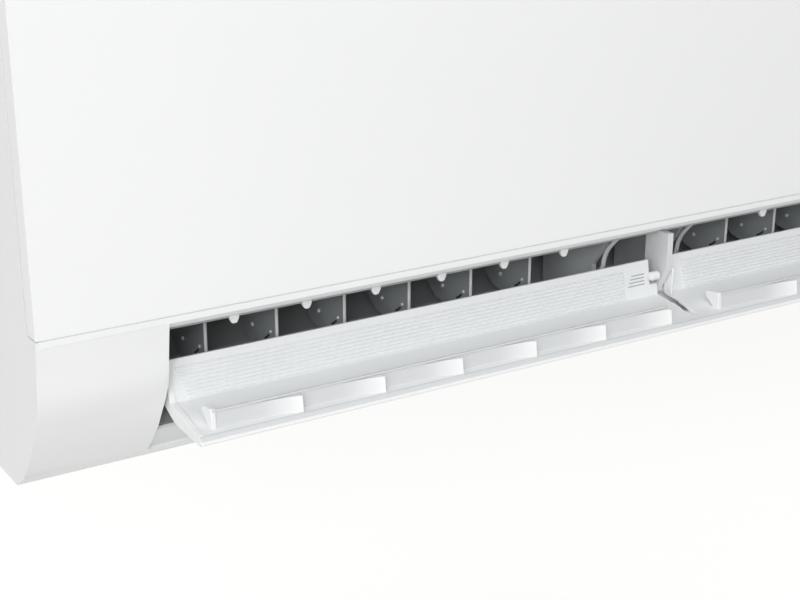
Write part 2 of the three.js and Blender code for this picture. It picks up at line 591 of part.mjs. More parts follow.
function flapInner() {
  const tipBottom = [FLAP_TIP[0], FLAP_TIP[1] - FLAP_SKIN];
  const foot = innerFace[innerFace.length - 1];
  const lip = prism(ribbon(FLAP_LIP, -FLAP_SKIN + 0.4), flapLeft, flapRight);
  const corner = FLAP_LIP[FLAP_LIP.length - 1];
  const wall = prism([[corner[0] - 1.2, corner[1]], FLAP_TIP, tipBottom,
    [corner[0] - 0.6, corner[1] - FLAP_SKIN]], flapLeft, flapRight);
  const endOutline = [...innerFace, tipBottom, FLAP_TIP, ...[...FLAP_LIP].reverse()];
  const envelope = prism(endOutline, flapLeft, flapRight);
  const slope = prism(ribbon([foot, tipBottom], FLAP_SKIN), flapLeft, flapRight).intersect(envelope);
  const ends = [flapLeft, flapRight - FLAP_END_PLATE].map((x) =>
    prism(endOutline, x, x + FLAP_END_PLATE));
  const rails = [
    railPieces(flapLeft + RAIL_START, OUTLET_MIDDLE - RAIL_STOP, flapLeft + BLOCK_PITCH),
    railPieces(OUTLET_MIDDLE + RAIL_STOP, flapRight - RAIL_START, OUTLET_MIDDLE + RAIL_STOP + BLOCK_PITCH),
  ];
  const slotHalf = ARM_THICKNESS / 2 + ARM_SLOT;
  const slot = block([OUTLET_MIDDLE - slotHalf, OUTLET_MIDDLE + slotHalf], [7.4, 60], [-60, -17]);
  const bosses = [-1, 1].map((side) => {
    const near = OUTLET_MIDDLE + side * slotHalf;
    const far = near + side * BOSS_LENGTH;
    return rodX(BOSS_RADIUS, Math.min(near, far), Math.max(near, far), FLAP_PIVOT);
  });
  const windows = [-1, 1].map((side) => {
    const near = OUTLET_MIDDLE + side * (slotHalf - 0.5);
    const far = OUTLET_MIDDLE + side * (slotHalf + BOSS_LENGTH - 2);
    return block([Math.min(near, far), Math.max(near, far)], [16, 28], [-47, -40]);
  });
  const bores = [
    rodX(CENTRE_PIN_RADIUS + GAP, OUTLET_MIDDLE - 20, OUTLET_MIDDLE + 20, FLAP_PIVOT, 14),
    rodX(PIN_RADIUS + GAP, flapLeft - 1, flapLeft + FLAP_END_PLATE + 1, FLAP_PIVOT),
    rodX(PIN_RADIUS + GAP, flapRight - FLAP_END_PLATE - 1, flapRight + 1, FLAP_PIVOT)];
  const shell = cut(joined(lip, wall, slope, ends), windows);
  return cut(joined(shell, bosses, rails.flat(2)), slot, bores);
}

function flapPin(side) {
  const inner = side < 0 ? flapLeft + FLAP_END_PLATE + 0.6 : flapRight - FLAP_END_PLATE - 0.6;
  const outer = side < 0 ? OUTLET_LEFT - WALL - 2 : OUTLET_RIGHT + WALL + 6;
  return rodX(PIN_RADIUS, Math.min(inner, outer), Math.max(inner, outer), FLAP_PIVOT);
}

function centrePin() {
  const reach = ARM_THICKNESS / 2 + ARM_SLOT + BOSS_LENGTH - 0.5;
  return rodX(CENTRE_PIN_RADIUS, OUTLET_MIDDLE - reach, OUTLET_MIDDLE + reach, FLAP_PIVOT, 14);
}

// ---- casing ----------------------------------------------------------------------------------
function frontFrame() {
  const seam = -SEAM_GAP / 2;
  const under = [[BODY_DEPTH - 2, -LOWER_ZONE], CHIN];
  const lower = fascia.filter(([, rise]) => rise < seam);
  const sideOutline = [[FRAME_FRONT, seam], [1, seam], ...lower, CHIN, under[0], [BODY_DEPTH - 2, TOP_RISE],
    [FRAME_FRONT + FRAME_NOTCH, TOP_RISE], [FRAME_FRONT + FRAME_NOTCH, TOP_RISE - 11],
    [FRAME_FRONT, TOP_RISE - 14]];
  const ends = [[BODY_LEFT, BODY_LEFT + WALL], [BODY_RIGHT - WALL, BODY_RIGHT]].map(([from, to]) =>
    prism(sideOutline, from, to));
  const front = [[0.4, seam], ...lower];
  const fasciaShell = ribbon(front, WALL);
  const shells = [[BODY_LEFT, OUTLET_LEFT], [OUTLET_RIGHT, BODY_RIGHT]].map(([from, to]) =>
    prism(fasciaShell, from, to));
  const chin = prism(ribbon([RIDGE, CHIN, under[0]], WALL), BODY_LEFT, BODY_RIGHT);
  const sill = prism(ribbon([SILL_TOP, [RIDGE[0] + 1.4, RIDGE[1] + 0.6]], DUCT_SKIN),
    OUTLET_LEFT - WALL, OUTLET_RIGHT + WALL);
  const trimOutline = [[0.4, seam], [0.4, -TRIM_DROP], [1.6, -TRIM_DROP - 0.2], TRIM_LIP, TRIM_BACK,
    [TRIM_BACK[0], seam]];
  const trim = prism(trimOutline, BODY_LEFT + WALL, BODY_RIGHT - WALL);
  const cheekOutline = [[TRIM_BACK[0], CEILING_FRONT[1] - GAP], [CHEEK_DEPTH, CEILING_FRONT[1] - GAP],
    [CHEEK_DEPTH, RIDGE[1]], ...[...lower].reverse(), [1, seam], [TRIM_BACK[0], seam]];
  const cheeks = [[OUTLET_LEFT - WALL, OUTLET_LEFT], [OUTLET_RIGHT, OUTLET_RIGHT + WALL]].map(
    ([from, to]) => prism(cheekOutline, from, to));
  const pinHoles = [OUTLET_LEFT, OUTLET_RIGHT].map((x) =>
    rodX(PIN_RADIUS + GAP, x - WALL - 1, x + WALL + 1, FLAP_PIVOT));
  const roof = roofFrame();
  const screwHoles = SCREW_PLACES.map((x) =>
    rodZ(SCREW_SHANK + GAP, -LOWER_ZONE - 2, -LOWER_ZONE + 8, [x, SCREW_DEPTH]));
  return cut(joined(ends, shells, chin, sill, trim, cheeks, roof, lensPosts()), pinHoles, screwHoles,
    lensHole());
}

function roofFrame() {
  const low = TOP_RISE - WALL;
  const sheet = block([BODY_LEFT, BODY_RIGHT], [ROOF_FRONT, BODY_DEPTH - 2], [low, TOP_RISE]);
  const opening = block([BODY_LEFT + GRILLE_MARGIN, BODY_RIGHT - GRILLE_MARGIN],
    [GRILLE_FRONT, GRILLE_BACK], [low - 1, TOP_RISE + 1]);
  const left = BODY_LEFT + GRILLE_MARGIN;
  const right = BODY_RIGHT - GRILLE_MARGIN;
  const frame = cut(sheet, opening);
  const guides = filterEdges().map(([from, to]) =>
    block([from, to], [FILTER_DEPTH + FILTER_THICKNESS + GAP, ROOF_FRONT + 1], [FILTER_BOTTOM, TOP_RISE]));
  const beam = block([left, right], [FILTER_DEPTH + FILTER_THICKNESS + GAP, ROOF_FRONT + 1],
    [FILTER_BOTTOM - 4, FILTER_BOTTOM]);
  const ties = [BODY_LEFT + WALL / 2, BODY_RIGHT - WALL / 2 - 30].map((x) =>
    block([x, x + 30], [FILTER_DEPTH + FILTER_THICKNESS + GAP, ROOF_FRONT + 1],
      [FILTER_BOTTOM - 4, FILTER_BOTTOM]));
  return joined(frame, guides, beam, ties, hingeEars());
}

// Ears that hold the front panel's hinge pins, carried by the roof's front edge.
function hingeEars() {
  const [depth, rise] = PANEL_HINGE;
  return [BODY_LEFT + HINGE_INSET + 4 + GAP, BODY_RIGHT - HINGE_INSET - 8 - GAP].map((x) => {
    const ear = joined(rodX(HINGE_EAR_RADIUS, x, x + 4, PANEL_HINGE),
      block([x, x + 4], [depth, ROOF_FRONT + 3], [rise - HINGE_EAR_RADIUS, rise]),
      block([x, x + 4], [ROOF_FRONT, ROOF_FRONT + 3], [rise - HINGE_EAR_RADIUS, TOP_RISE]));
    return cut(ear, rodX(HINGE_RADIUS + GAP, x - 1, x + 5, PANEL_HINGE, 12));
  });
}

// The upright guides behind each filter's two long edges.
function filterEdges() {
  const edge = FILTER_BORDER;
  return filterSpans().flatMap(([from, to]) => [[from, from + edge], [to - edge, to]]);
}

function filterSpans() {
  const left = OUTLET_LEFT + 6;
  const right = OUTLET_RIGHT - 6;
  const middle = (left + right) / 2;
  return [[left, middle - 6], [middle + 6, right]];
}

function filter([from, to]) {
  const top = TOP_RISE - 1;
  const sheet = block([from, to], [FILTER_DEPTH, FILTER_DEPTH + FILTER_THICKNESS], [FILTER_BOTTOM, top]);
  const [columns, rows] = FILTER_GRID;
  const width = (to - from - FILTER_BORDER) / columns;
  const height = (top - FILTER_BOTTOM - FILTER_BORDER * 2) / rows;
  const bays = [];
  for (let column = 0; column < columns; column += 1) {
    for (let row = 0; row < rows; row += 1) {
      const x = from + FILTER_BORDER + column * width;
      const z = FILTER_BOTTOM + FILTER_BORDER + row * height;
      bays.push(block([x, x + width - FILTER_BORDER],
        [FILTER_DEPTH - 1, FILTER_DEPTH + FILTER_THICKNESS - 0.8],
        [z, z + height - 3]));
    }
  }
  return cut(sheet, bays);
}

function topGrille() {
  const x0 = BODY_LEFT + GRILLE_MARGIN + GAP;
  const x1 = BODY_RIGHT - GRILLE_MARGIN - GAP;
  const y0 = GRILLE_FRONT + GAP;
  const y1 = GRILLE_BACK - GAP;
  const low = TOP_RISE - WALL;
  const sheet = block([x0, x1], [y0, y1], [low, TOP_RISE - 0.3]);
  const pitch = (y1 - y0 - GRILLE_BAR) / GRILLE_SLOTS;
  const bay = (x1 - x0 - GRILLE_BAR) / GRILLE_BAYS;
  const slots = [];
  for (let row = 0; row < GRILLE_SLOTS; row += 1) {
    for (let column = 0; column < GRILLE_BAYS; column += 1) {
      const x = x0 + GRILLE_BAR + column * bay;
      const y = y0 + GRILLE_BAR + row * pitch;
      slots.push(block([x, x + bay - GRILLE_BAR], [y, y + pitch - GRILLE_BAR], [low - 1, TOP_RISE + 1]));
    }
  }
  return cut(sheet, slots);
}

function frontPanel() {
  const bottom = SEAM_GAP / 2;
  const outline = [[0, bottom], [PANEL_RETURN, bottom], [PANEL_RETURN, bottom + WALL],
    [PANEL_THICKNESS, bottom + WALL + 1], [PANEL_THICKNESS, TOP_RISE - WALL - 1],
    [PANEL_TOP_RETURN, TOP_RISE - WALL], [PANEL_TOP_RETURN, TOP_RISE - 0.6], [3, TOP_RISE],
    [0.9, TOP_RISE - 0.9], [0, TOP_RISE - 3]];
  const sheet = prism(outline, BODY_LEFT, BODY_RIGHT);
  const sideReturns = [BODY_LEFT, BODY_RIGHT - WALL].map((x) =>
    block([x, x + WALL], [1, PANEL_RETURN], [bottom, TOP_RISE - 14]));
  const lugs = [BODY_LEFT + HINGE_INSET, BODY_RIGHT - HINGE_INSET - 4].map((x) => joined(
    block([x, x + 4], [1, PANEL_HINGE[0]],
      [PANEL_HINGE[1] - HINGE_EAR_RADIUS, PANEL_HINGE[1] + HINGE_EAR_RADIUS]),
    rodX(HINGE_EAR_RADIUS, x, x + 4, PANEL_HINGE)));
  const pins = [[BODY_LEFT + HINGE_INSET + 3, BODY_LEFT + HINGE_INSET + 8.5],
    [BODY_RIGHT - HINGE_INSET - 8.5, BODY_RIGHT - HINGE_INSET - 3]].map(([from, to]) =>
    rodX(HINGE_RADIUS, from, to, PANEL_HINGE, 12));
  return joined(sheet, sideReturns, lugs, pins);
}

// ---- fan, its shaft and its motor ------------------------------------------------------------
const rotorLeft = OUTLET_LEFT + FAN_END_CLEARANCE;
const rotorRight = OUTLET_RIGHT - FAN_END_CLEARANCE;
const HUB_RADIUS = SHAFT_RADIUS + 5;
const HUB_LENGTH = 14;

// The rotor is drawn about its own axis.
function fanRotor() {
  const axis = [0, 0];
  const span = rotorRight - rotorLeft;
  const discs = Array.from({ length: FAN_SECTIONS + 1 }, (_, index) => {
    const x = rotorLeft + (span - FAN_DISC) * index / FAN_SECTIONS;
    const outer = rodX(FAN_RADIUS, x, x + FAN_DISC, axis, FAN_BLADES);
    const isEnd = index === 0 || index === FAN_SECTIONS;
    return isEnd ? outer
      : cut(outer, rodX(FAN_RADIUS - FAN_BLADE_CHORD - 1, x - 1, x + FAN_DISC + 1, axis, 12));
  });
  const blades = Array.from({ length: FAN_BLADES }, (_, index) => {
    const geometry = new THREE.BoxGeometry(span - 1, FAN_BLADE_CHORD, FAN_BLADE_THICKNESS);
    geometry.rotateX(THREE.MathUtils.degToRad(35));
    geometry.translate((rotorLeft + rotorRight) / 2, FAN_RADIUS - FAN_BLADE_CHORD / 2 - 0.6, 0);
    geometry.rotateX(2 * Math.PI * (index + 0.5) / FAN_BLADES);
    return solidOf(geometry);
  });
  const hubs = [rodX(HUB_RADIUS, rotorLeft, rotorLeft + HUB_LENGTH, axis),
    rodX(HUB_RADIUS, rotorRight - HUB_LENGTH, rotorRight, axis)];
  const bores = [rodX(SHAFT_RADIUS + GAP, rotorLeft - 1, rotorLeft + HUB_LENGTH - 2, axis),
    rodX(SHAFT_RADIUS + GAP, rotorRight - HUB_LENGTH + 2, rotorRight + 1, axis)];
  return cut(joined(discs, blades, hubs), bores);
}

function bearingShaft() {
  return rodX(SHAFT_RADIUS, OUTLET_LEFT - WALL - 3, rotorLeft + HUB_LENGTH - 2 - GAP, [0, 0]);
}

function motorShaft() {
  return rodX(SHAFT_RADIUS, rotorRight - HUB_LENGTH + 2 + GAP,
    OUTLET_RIGHT + WALL + MOTOR_OFFSET + 12, [0, 0]);
}

function ring(outer, inner, from, to, centre, sides = 20) {
  return cut(rodX(outer, from, to, centre, sides), rodX(inner, from - 1, to + 1, centre, sides));
}

const bearingLeft = OUTLET_LEFT - WALL - 1.5;
const bearingRight = OUTLET_LEFT + 1.5;
const motorLeft = OUTLET_RIGHT + WALL + MOTOR_OFFSET;

function motorBody() {
  const body = rodX(MOTOR_RADIUS, motorLeft, motorLeft + MOTOR_LENGTH, FAN_CENTRE, 32);
  const nose = rodX(RUBBER_RADIUS - 1, motorLeft - 5, motorLeft + 1, FAN_CENTRE);
  const tail = rodX(RUBBER_RADIUS - 1, motorLeft + MOTOR_LENGTH - 1,
    motorLeft + MOTOR_LENGTH + 6, FAN_CENTRE);
  const bore = rodX(SHAFT_RADIUS + GAP, motorLeft - 6, motorLeft + 14, FAN_CENTRE);
  return cut(joined(body, nose, tail), bore);
}

// A saddle round the motor's lower half, with a foot on the chassis' back wall.
function motorSaddle() {
  const inner = MOTOR_RADIUS + GAP;
  const outer = inner + MOTOR_STRAP;
  const from = motorLeft + (MOTOR_LENGTH - MOTOR_STRAP_WIDTH) / 2;
  const to = from + MOTOR_STRAP_WIDTH;
  const back = CHASSIS_BACK - WALL - GAP;
  const hoop = ring(outer, inner, from, to, FAN_CENTRE, 32);
  const arm = (rise) => block([from, to], [FAN_CENTRE[0] + 30, back], [rise, rise + MOTOR_STRAP]);
  const foot = block([from, to], [back - MOTOR_STRAP, back], [FAN_CENTRE[1] - 42, FAN_CENTRE[1] + 42]);
  const frame = joined(arm(FAN_CENTRE[1] - 30), arm(FAN_CENTRE[1] + 30), foot);
  return joined(hoop, cut(frame, rodX(inner, from - 1, to + 1, FAN_CENTRE, 32)));
}

// ---- heat exchanger --------------------------------------------------------------------------
// A band about a line, lengthened at both ends.
function bandOutline([[d0, r0], [d1, r1]], half, longer) {
  const along = new THREE.Vector2(d1 - d0, r1 - r0).normalize();
  const across = [along.y * half, -along.x * half];
  const start = [d0 - along.x * longer, r0 - along.y * longer];
  const end = [d1 + along.x * longer, r1 + along.y * longer];
  return [[start[0] - across[0], start[1] - across[1]], [start[0] + across[0], start[1] + across[1]],
    [end[0] + across[0], end[1] + across[1]], [end[0] - across[0], end[1] - across[1]]];
}

const coilLeft = OUTLET_LEFT + 4;
const coilRight = OUTLET_RIGHT - 4;

function finPack(line) {
  return prism(bandOutline(line, COIL_THICKNESS / 2, 0), coilLeft + GAP, coilRight - GAP);
}

function coilPlate(from) {
  const slabs = [COIL_FRONT, COIL_TOP, COIL_REAR].map((line) =>
    prism(bandOutline(line, COIL_THICKNESS / 2 + 1, 1), from, from + COIL_PLATE));
  const bridges = [[COIL_FRONT[1], COIL_TOP[0]], [COIL_TOP[1], COIL_REAR[0]]].map(([a, b]) =>
    prism(bandOutline([a, b], COIL_THICKNESS / 3, 4), from, from + COIL_PLATE));
  return joined(slabs, bridges);
}

// Places of the return bends: pairs of tubes along each slab's centre line.
function bendPlaces() {
  return [COIL_FRONT, COIL_TOP, COIL_REAR].flatMap(([[d0, r0], [d1, r1]]) => {
    const length = Math.hypot(d1 - d0, r1 - r0);
    const along = [(d1 - d0) / length, (r1 - r0) / length];
    const count = Math.floor((length - 8) / (BEND_RADIUS * 2 + 10));
    const start = (length - count * (BEND_RADIUS * 2 + 10) + 10) / 2;
    return Array.from({ length: count }, (_, index) => {
      const near = start + index * (BEND_RADIUS * 2 + 10);
      return [near, near + BEND_RADIUS * 2].map((t) => [d0 + along[0] * t, r0 + along[1] * t]);
    });
  });
}

function returnBend([a, b], x) {
  const middle = [(a[0] + b[0]) / 2, (a[1] + b[1]) / 2];
  const points = [];
  for (let i = 0; i <= 4; i += 1) {
    const angle = Math.PI * i / 4;
    const out = Math.sin(angle) * BEND_RADIUS;
    const share = Math.cos(angle);
    points.push([x + 3 + out, middle[0] + (a[0] - middle[0]) * share,
      middle[1] + (a[1] - middle[1]) * share]);
  }
  return tube([[x - 0.5, ...a], ...points, [x - 0.5, ...b]], TUBE_RADIUS, 7, 6);
}

function rightCoilPlate() {
  const from = coilRight;
  return joined(coilPlate(from), bendPlaces().map((place) => returnBend(place, from + COIL_PLATE)));
}

// ---- refrigerant pipes -----------------------------------------------------------------------
// From the coil's right end down in front of the motor, back under it, then left along the rear.
function refrigerantPipe(radius, rise, turn, startRise) {
  const x = coilRight + COIL_PLATE + 2 * GAP;
  const start = COIL_FRONT[0][0] + 8;
  const drop = PIPE_DROP_DEPTH;
  const cross = PIPE_CROSS_RISE;
  return tube([[x, start, startRise], [turn - 6, start + 1, startRise], [turn, start + 8, startRise - 3],
    [turn, drop, startRise - 14], [turn, drop, cross + 22], [turn, drop + 6, cross + 4],
    [turn, drop + 22, cross], [turn, PIPE_BACK - 50, cross - 2], [turn, PIPE_BACK - 14, rise + 14],
    [turn, PIPE_BACK - 2, rise + 3], [turn - 6, PIPE_BACK, rise], [turn - 30, PIPE_BACK, rise],
    [(turn + PIPE_END) / 2, PIPE_BACK, rise], [PIPE_END, PIPE_BACK, rise]], radius, 30, 8);
}

function flareNut(radius, rise) {
  const outer = radius * 1.9;
  return cut(rodX(outer, PIPE_END - 12, PIPE_END + 8, [PIPE_BACK, rise], 6),
    rodX(radius + GAP, PIPE_END - 13, PIPE_END + 9, [PIPE_BACK, rise], 16));
}

function pipeClamp() {
  const x = (PIPE_END + OUTLET_RIGHT) / 2;
  const body = block([x - 5, x + 5], [PIPE_BACK - 7, CHASSIS_BACK - WALL - GAP],
    [GAS_RISE - 8, LIQUID_RISE + 7]);
  return cut(body, rodX(GAS_RADIUS + GAP, x - 6, x + 6, [PIPE_BACK, GAS_RISE], 16),
    rodX(LIQUID_RADIUS + GAP, x - 6, x + 6, [PIPE_BACK, LIQUID_RISE], 16));
}

// ---- electrics and small parts -----------------------------------------------------------------
const boxLeft = OUTLET_RIGHT + WALL + BOX_OFFSET;
const boxRight = BODY_RIGHT - WALL - 5;
const boardDepth = BOX_BACK - BOX_SKIN - 14;
const buttonPlace = [(boxLeft + boxRight) / 2, BOX_BOTTOM + 30];

function controlBox() {
  const outer = block([boxLeft, boxRight], [BOX_FRONT, BOX_BACK], [BOX_BOTTOM, BOX_TOP]);
  const inner = block([boxLeft + BOX_SKIN, boxRight - BOX_SKIN], [BOX_FRONT - 1, BOX_BACK - BOX_SKIN],
    [BOX_BOTTOM + BOX_SKIN, BOX_TOP - BOX_SKIN]);
  const posts = [boxLeft + 10, boxRight - 10].flatMap((x) => [BOX_BOTTOM + 22, BOX_TOP - 16].map((rise) =>
    rodY(3, boardDepth + 1.6 + GAP, BOX_BACK - 1, [x, rise], 10)));
  const apron = block([boxLeft, boxRight], [BOX_BACK - BOX_SKIN, BOX_BACK],
    [BOX_BOTTOM - 34, BOX_BOTTOM + 1]);
  const bracket = block([boxRight - 8, BODY_RIGHT - WALL - GAP], [BOX_BACK - BOX_SKIN, BOX_BACK],
    [BOX_TOP - 30, BOX_TOP]);
  const cordHole = rodY(5, BOX_BACK - BOX_SKIN - 1, BOX_BACK + 1, [boxLeft + 12, BOX_BOTTOM + 10]);
  return cut(joined(cut(outer, inner), posts, apron, bracket), cordHole);
}

function controlLid() {
  const sheet = block([boxLeft, boxRight], [BOX_FRONT - GAP - 1.6, BOX_FRONT - GAP], [BOX_BOTTOM, BOX_TOP]);
  const hole = rodY(BUTTON_RADIUS + GAP, BOX_FRONT - 4, BOX_FRONT + 1, buttonPlace);
  return cut(sheet, hole);
}

function circuitBoard() {
  const sheet = block([boxLeft + 5, boxRight - 5], [boardDepth, boardDepth + 1.6],
    [BOX_BOTTOM + 12, BOX_TOP - 8]);
  const [x, rise] = buttonPlace;
  const front = boardDepth + 0.1;
  const width = boxRight - boxLeft - 10;
  const height = BOX_TOP - BOX_BOTTOM - 20;
  const across = (share) => boxLeft + 5 + width * share;
  const up = (share) => BOX_BOTTOM + 12 + height * share;
  const parts = BOARD_BLOCKS.map(([left, right, low, high, reach]) =>
    block([across(left), across(right)], [boardDepth - reach, front], [up(low), up(high)]));
  parts.push(rodY(CAPACITOR_RADIUS, boardDepth - 18, front, [across(0.75), up(0.83)], 16));
  const switchBody = block([x - 5, x + 5], [BOX_FRONT + 4.6, front], [rise - 5, rise + 5]);
  return joined(sheet, parts, switchBody);
}

function manualButton() {
  const back = BOX_FRONT + 2;
  return joined(rodY(BUTTON_RADIUS, BOX_FRONT - GAP - 1.6 - BUTTON_STAND, back, buttonPlace),
    rodY(BUTTON_RADIUS + 1.6, BOX_FRONT + 0.3, back, buttonPlace));
}

const terminalBack = BOX_BACK - BOX_SKIN - GAP;
const terminalTop = BOX_BOTTOM - 6;

function terminalBlock() {
  const [width, height, thickness] = TERMINAL_SIZE;
  const x = (boxLeft + boxRight - width) / 2;
  const body = block([x, x + width], [terminalBack - thickness, terminalBack],
    [terminalTop - height, terminalTop]);
  const cells = Array.from({ length: 4 }, (_, index) => {
    const left = x + 4 + index * (width - 5) / 4;
    return block([left, left + 7], [terminalBack - thickness - 1, terminalBack - thickness + 6],
      [terminalTop - height - 1, terminalTop - 8]);
  });
  return cut(body, cells);
}

function terminalCover() {
  const [width, height, thickness] = TERMINAL_SIZE;
  const x = (boxLeft + boxRight - width) / 2 - 3;
  const front = terminalBack - thickness - 4;
  const face = block([x, x + width + 6], [front, front + 1.6], [terminalTop - height - 3, terminalTop + 3]);
  const shelf = block([x, x + width + 6], [front, terminalBack], [terminalTop + 1.4, terminalTop + 3]);
  return joined(face, shelf);
}

function receiverLens() {
  const [width, height] = LENS_SIZE;
  const low = LENS_RISE - height;
  const outline = [[fasciaDepth(LENS_RISE), LENS_RISE], [fasciaDepth(low), low],
    [RECEIVER_DEPTH - GAP, low],
    [RECEIVER_DEPTH - GAP, LENS_RISE]];
  return prism(outline, LENS_X, LENS_X + width);
}

function receiverBoard() {
  const [width, height] = LENS_SIZE;
  return block([LENS_X - 8, LENS_X + width + 8], [RECEIVER_DEPTH, RECEIVER_DEPTH + 1.4],
    [LENS_RISE - height - 4, LENS_RISE + 3]);
}

function lensHole() {
  const [width, height] = LENS_SIZE;
  return block([LENS_X - GAP, LENS_X + width + GAP], [-1, 9], [LENS_RISE - height - GAP, LENS_RISE + GAP]);
}

function lensPosts() {
  const [width, height] = LENS_SIZE;
  return [LENS_X - 6, LENS_X + width + 3].map((x) => {
    const low = LENS_RISE - height;
    return block([x, x + 3], [fasciaDepth(low) + WALL / 2, RECEIVER_DEPTH - GAP], [low, low + 4]);
  });
}

// A small stepper whose shaft stands off its body's axis.
function flapMotor() {
  const from = OUTLET_RIGHT + WALL + GAP;
  const body = rodX(FLAP_MOTOR_RADIUS, from + 3, from + 3 + FLAP_MOTOR_LENGTH,
    [FLAP_PIVOT[0] + FLAP_MOTOR_OFFSET[0], FLAP_PIVOT[1] + FLAP_MOTOR_OFFSET[1]], 24);
  return cut(body, rodX(PIN_RADIUS + GAP, from - 1, from + 8, FLAP_PIVOT));
}

function casingScrew(x) {
  const floor = frameFloor(SCREW_DEPTH);
  return joined(rodZ(SCREW_SHANK, floor - 1.2, SCREW_TIP, [x, SCREW_DEPTH]),
    rodZ(SCREW_RADIUS, floor - 1.9, floor - GAP - 0.3, [x, SCREW_DEPTH], 12));
}

// ---- assembly --------------------------------------------------------------------------------
piece('mounting_plate', mountingPlate(), STEEL);
piece('rear_chassis', rearChassis(), SATIN);
piece('scroll_case', scrollCase(), DARK);
piece('outlet_duct', outletDuct(), DARK);
piece('drain_pan', drainPan(), SATIN);
piece('centre_arm', supportArm(), WHITE);
piece('front_frame', frontFrame(), WHITE);
piece('top_grille', topGrille(), WHITE);
piece('front_panel', frontPanel(), WHITE);

const [leftSpan, rightSpan] = filterSpans();
piece('filter_left', filter(leftSpan), MESH);
piece('filter_right', filter(rightSpan), MESH);

const flap = new THREE.Group();
flap.position.set(0, ...FLAP_PIVOT);
flap.rotation.x = THREE.MathUtils.degToRad(FLAP_OPEN);
const flapClosed = new THREE.Group();
flapClosed.position.set(0, -FLAP_PIVOT[0], -FLAP_PIVOT[1]);
flap.add(flapClosed);
cabinet.add(flap);
piece('flap_outer', flapOuter(), WHITE, flapClosed);
piece('flap_inner', flapInner(), WHITE, flapClosed);
piece('flap_pin_left', flapPin(-1), SATIN, flapClosed);
piece('flap_pin_right', flapPin(1), SATIN, flapClosed);
piece('flap_pin_centre', centrePin(), SATIN, flapClosed);
piece('flap_motor', flapMotor(), SATIN);

const vaneSolid = vane();
for (const [side, name] of [[-1, 'left'], [1, 'right']]) {
  for (let index = 0; index < VANES_PER_SIDE; index += 1) {
    const blade = piece(`vane_${name}_${index + 1}`, vaneSolid, DARK);
    blade.position.set(vaneX(side, index), VANE_PIVOT, 0);
  }
  const rod = piece(`link_rod_${name}`, linkRod(side), BLACK);
  rod.position.set(vaneX(side, 0), LINK_DEPTH, 0);
  piece(`vane_carrier_${name}`, sideCarrier(side), BLACK);
}

const fan = new THREE.Group();
fan.position.set(0, ...FAN_CENTRE);
cabinet.add(fan);
piece('fan_rotor', fanRotor(), BLACK, fan);
piece('bearing_shaft', bearingShaft(), STEEL, fan);
piece('motor_shaft', motorShaft(), STEEL, fan);
piece('fan_bearing',
  ring(BEARING_RADIUS, SHAFT_RADIUS + GAP, bearingLeft, bearingRight, FAN_CENTRE), BRASS);
piece('bearing_rubber',
  ring(RUBBER_RADIUS, BEARING_RADIUS + GAP, bearingLeft, bearingRight, FAN_CENTRE), RUBBER);
piece('fan_motor', motorBody(), SATIN);
piece('motor_saddle', motorSaddle(), STEEL);

piece('fin_pack_front', finPack(COIL_FRONT), ALUMINIUM);
piece('fin_pack_top', finPack(COIL_TOP), ALUMINIUM);
piece('fin_pack_rear', finPack(COIL_REAR), ALUMINIUM);
piece('coil_plate_left', coilPlate(coilLeft - COIL_PLATE), STEEL);
piece('coil_plate_right', rightCoilPlate(), COPPER);
piece('gas_pipe', refrigerantPipe(GAS_RADIUS, GAS_RISE, GAS_TURN, GAS_START), COPPER);
piece('liquid_pipe', refrigerantPipe(LIQUID_RADIUS, LIQUID_RISE, LIQUID_TURN, LIQUID_START), COPPER);
piece('gas_flare_nut', flareNut(GAS_RADIUS, GAS_RISE), BRASS);
piece('liquid_flare_nut', flareNut(LIQUID_RADIUS, LIQUID_RISE), BRASS);
piece('pipe_clamp', pipeClamp(), SATIN);

piece('control_box', controlBox(), STEEL);
piece('control_lid', controlLid(), STEEL);
piece('circuit_board', circuitBoard(), BOARD);
piece('manual_button', manualButton(), WHITE);
piece('terminal_block', terminalBlock(), BLACK);
piece('terminal_cover', terminalCover(), SATIN);
piece('receiver_lens', receiverLens(), BLACK);
piece('receiver_board', receiverBoard(), BOARD);
SCREW_PLACES.forEach((x, index) => piece(`casing_screw_${index + 1}`, casingScrew(x), STEEL));

export default unit;
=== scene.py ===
# Wall-hung mini split indoor unit with its air flap open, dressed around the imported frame.
# Sections are drawn as [depth, rise] in millimetres: depth back from the front face, rise above
# the panel seam. Pieces of the flap are drawn with the flap closed and then turned open.
import json
import math

import bmesh
import bpy
from mathutils import Matrix, Vector
from mathutils.geometry import interpolate_bezier

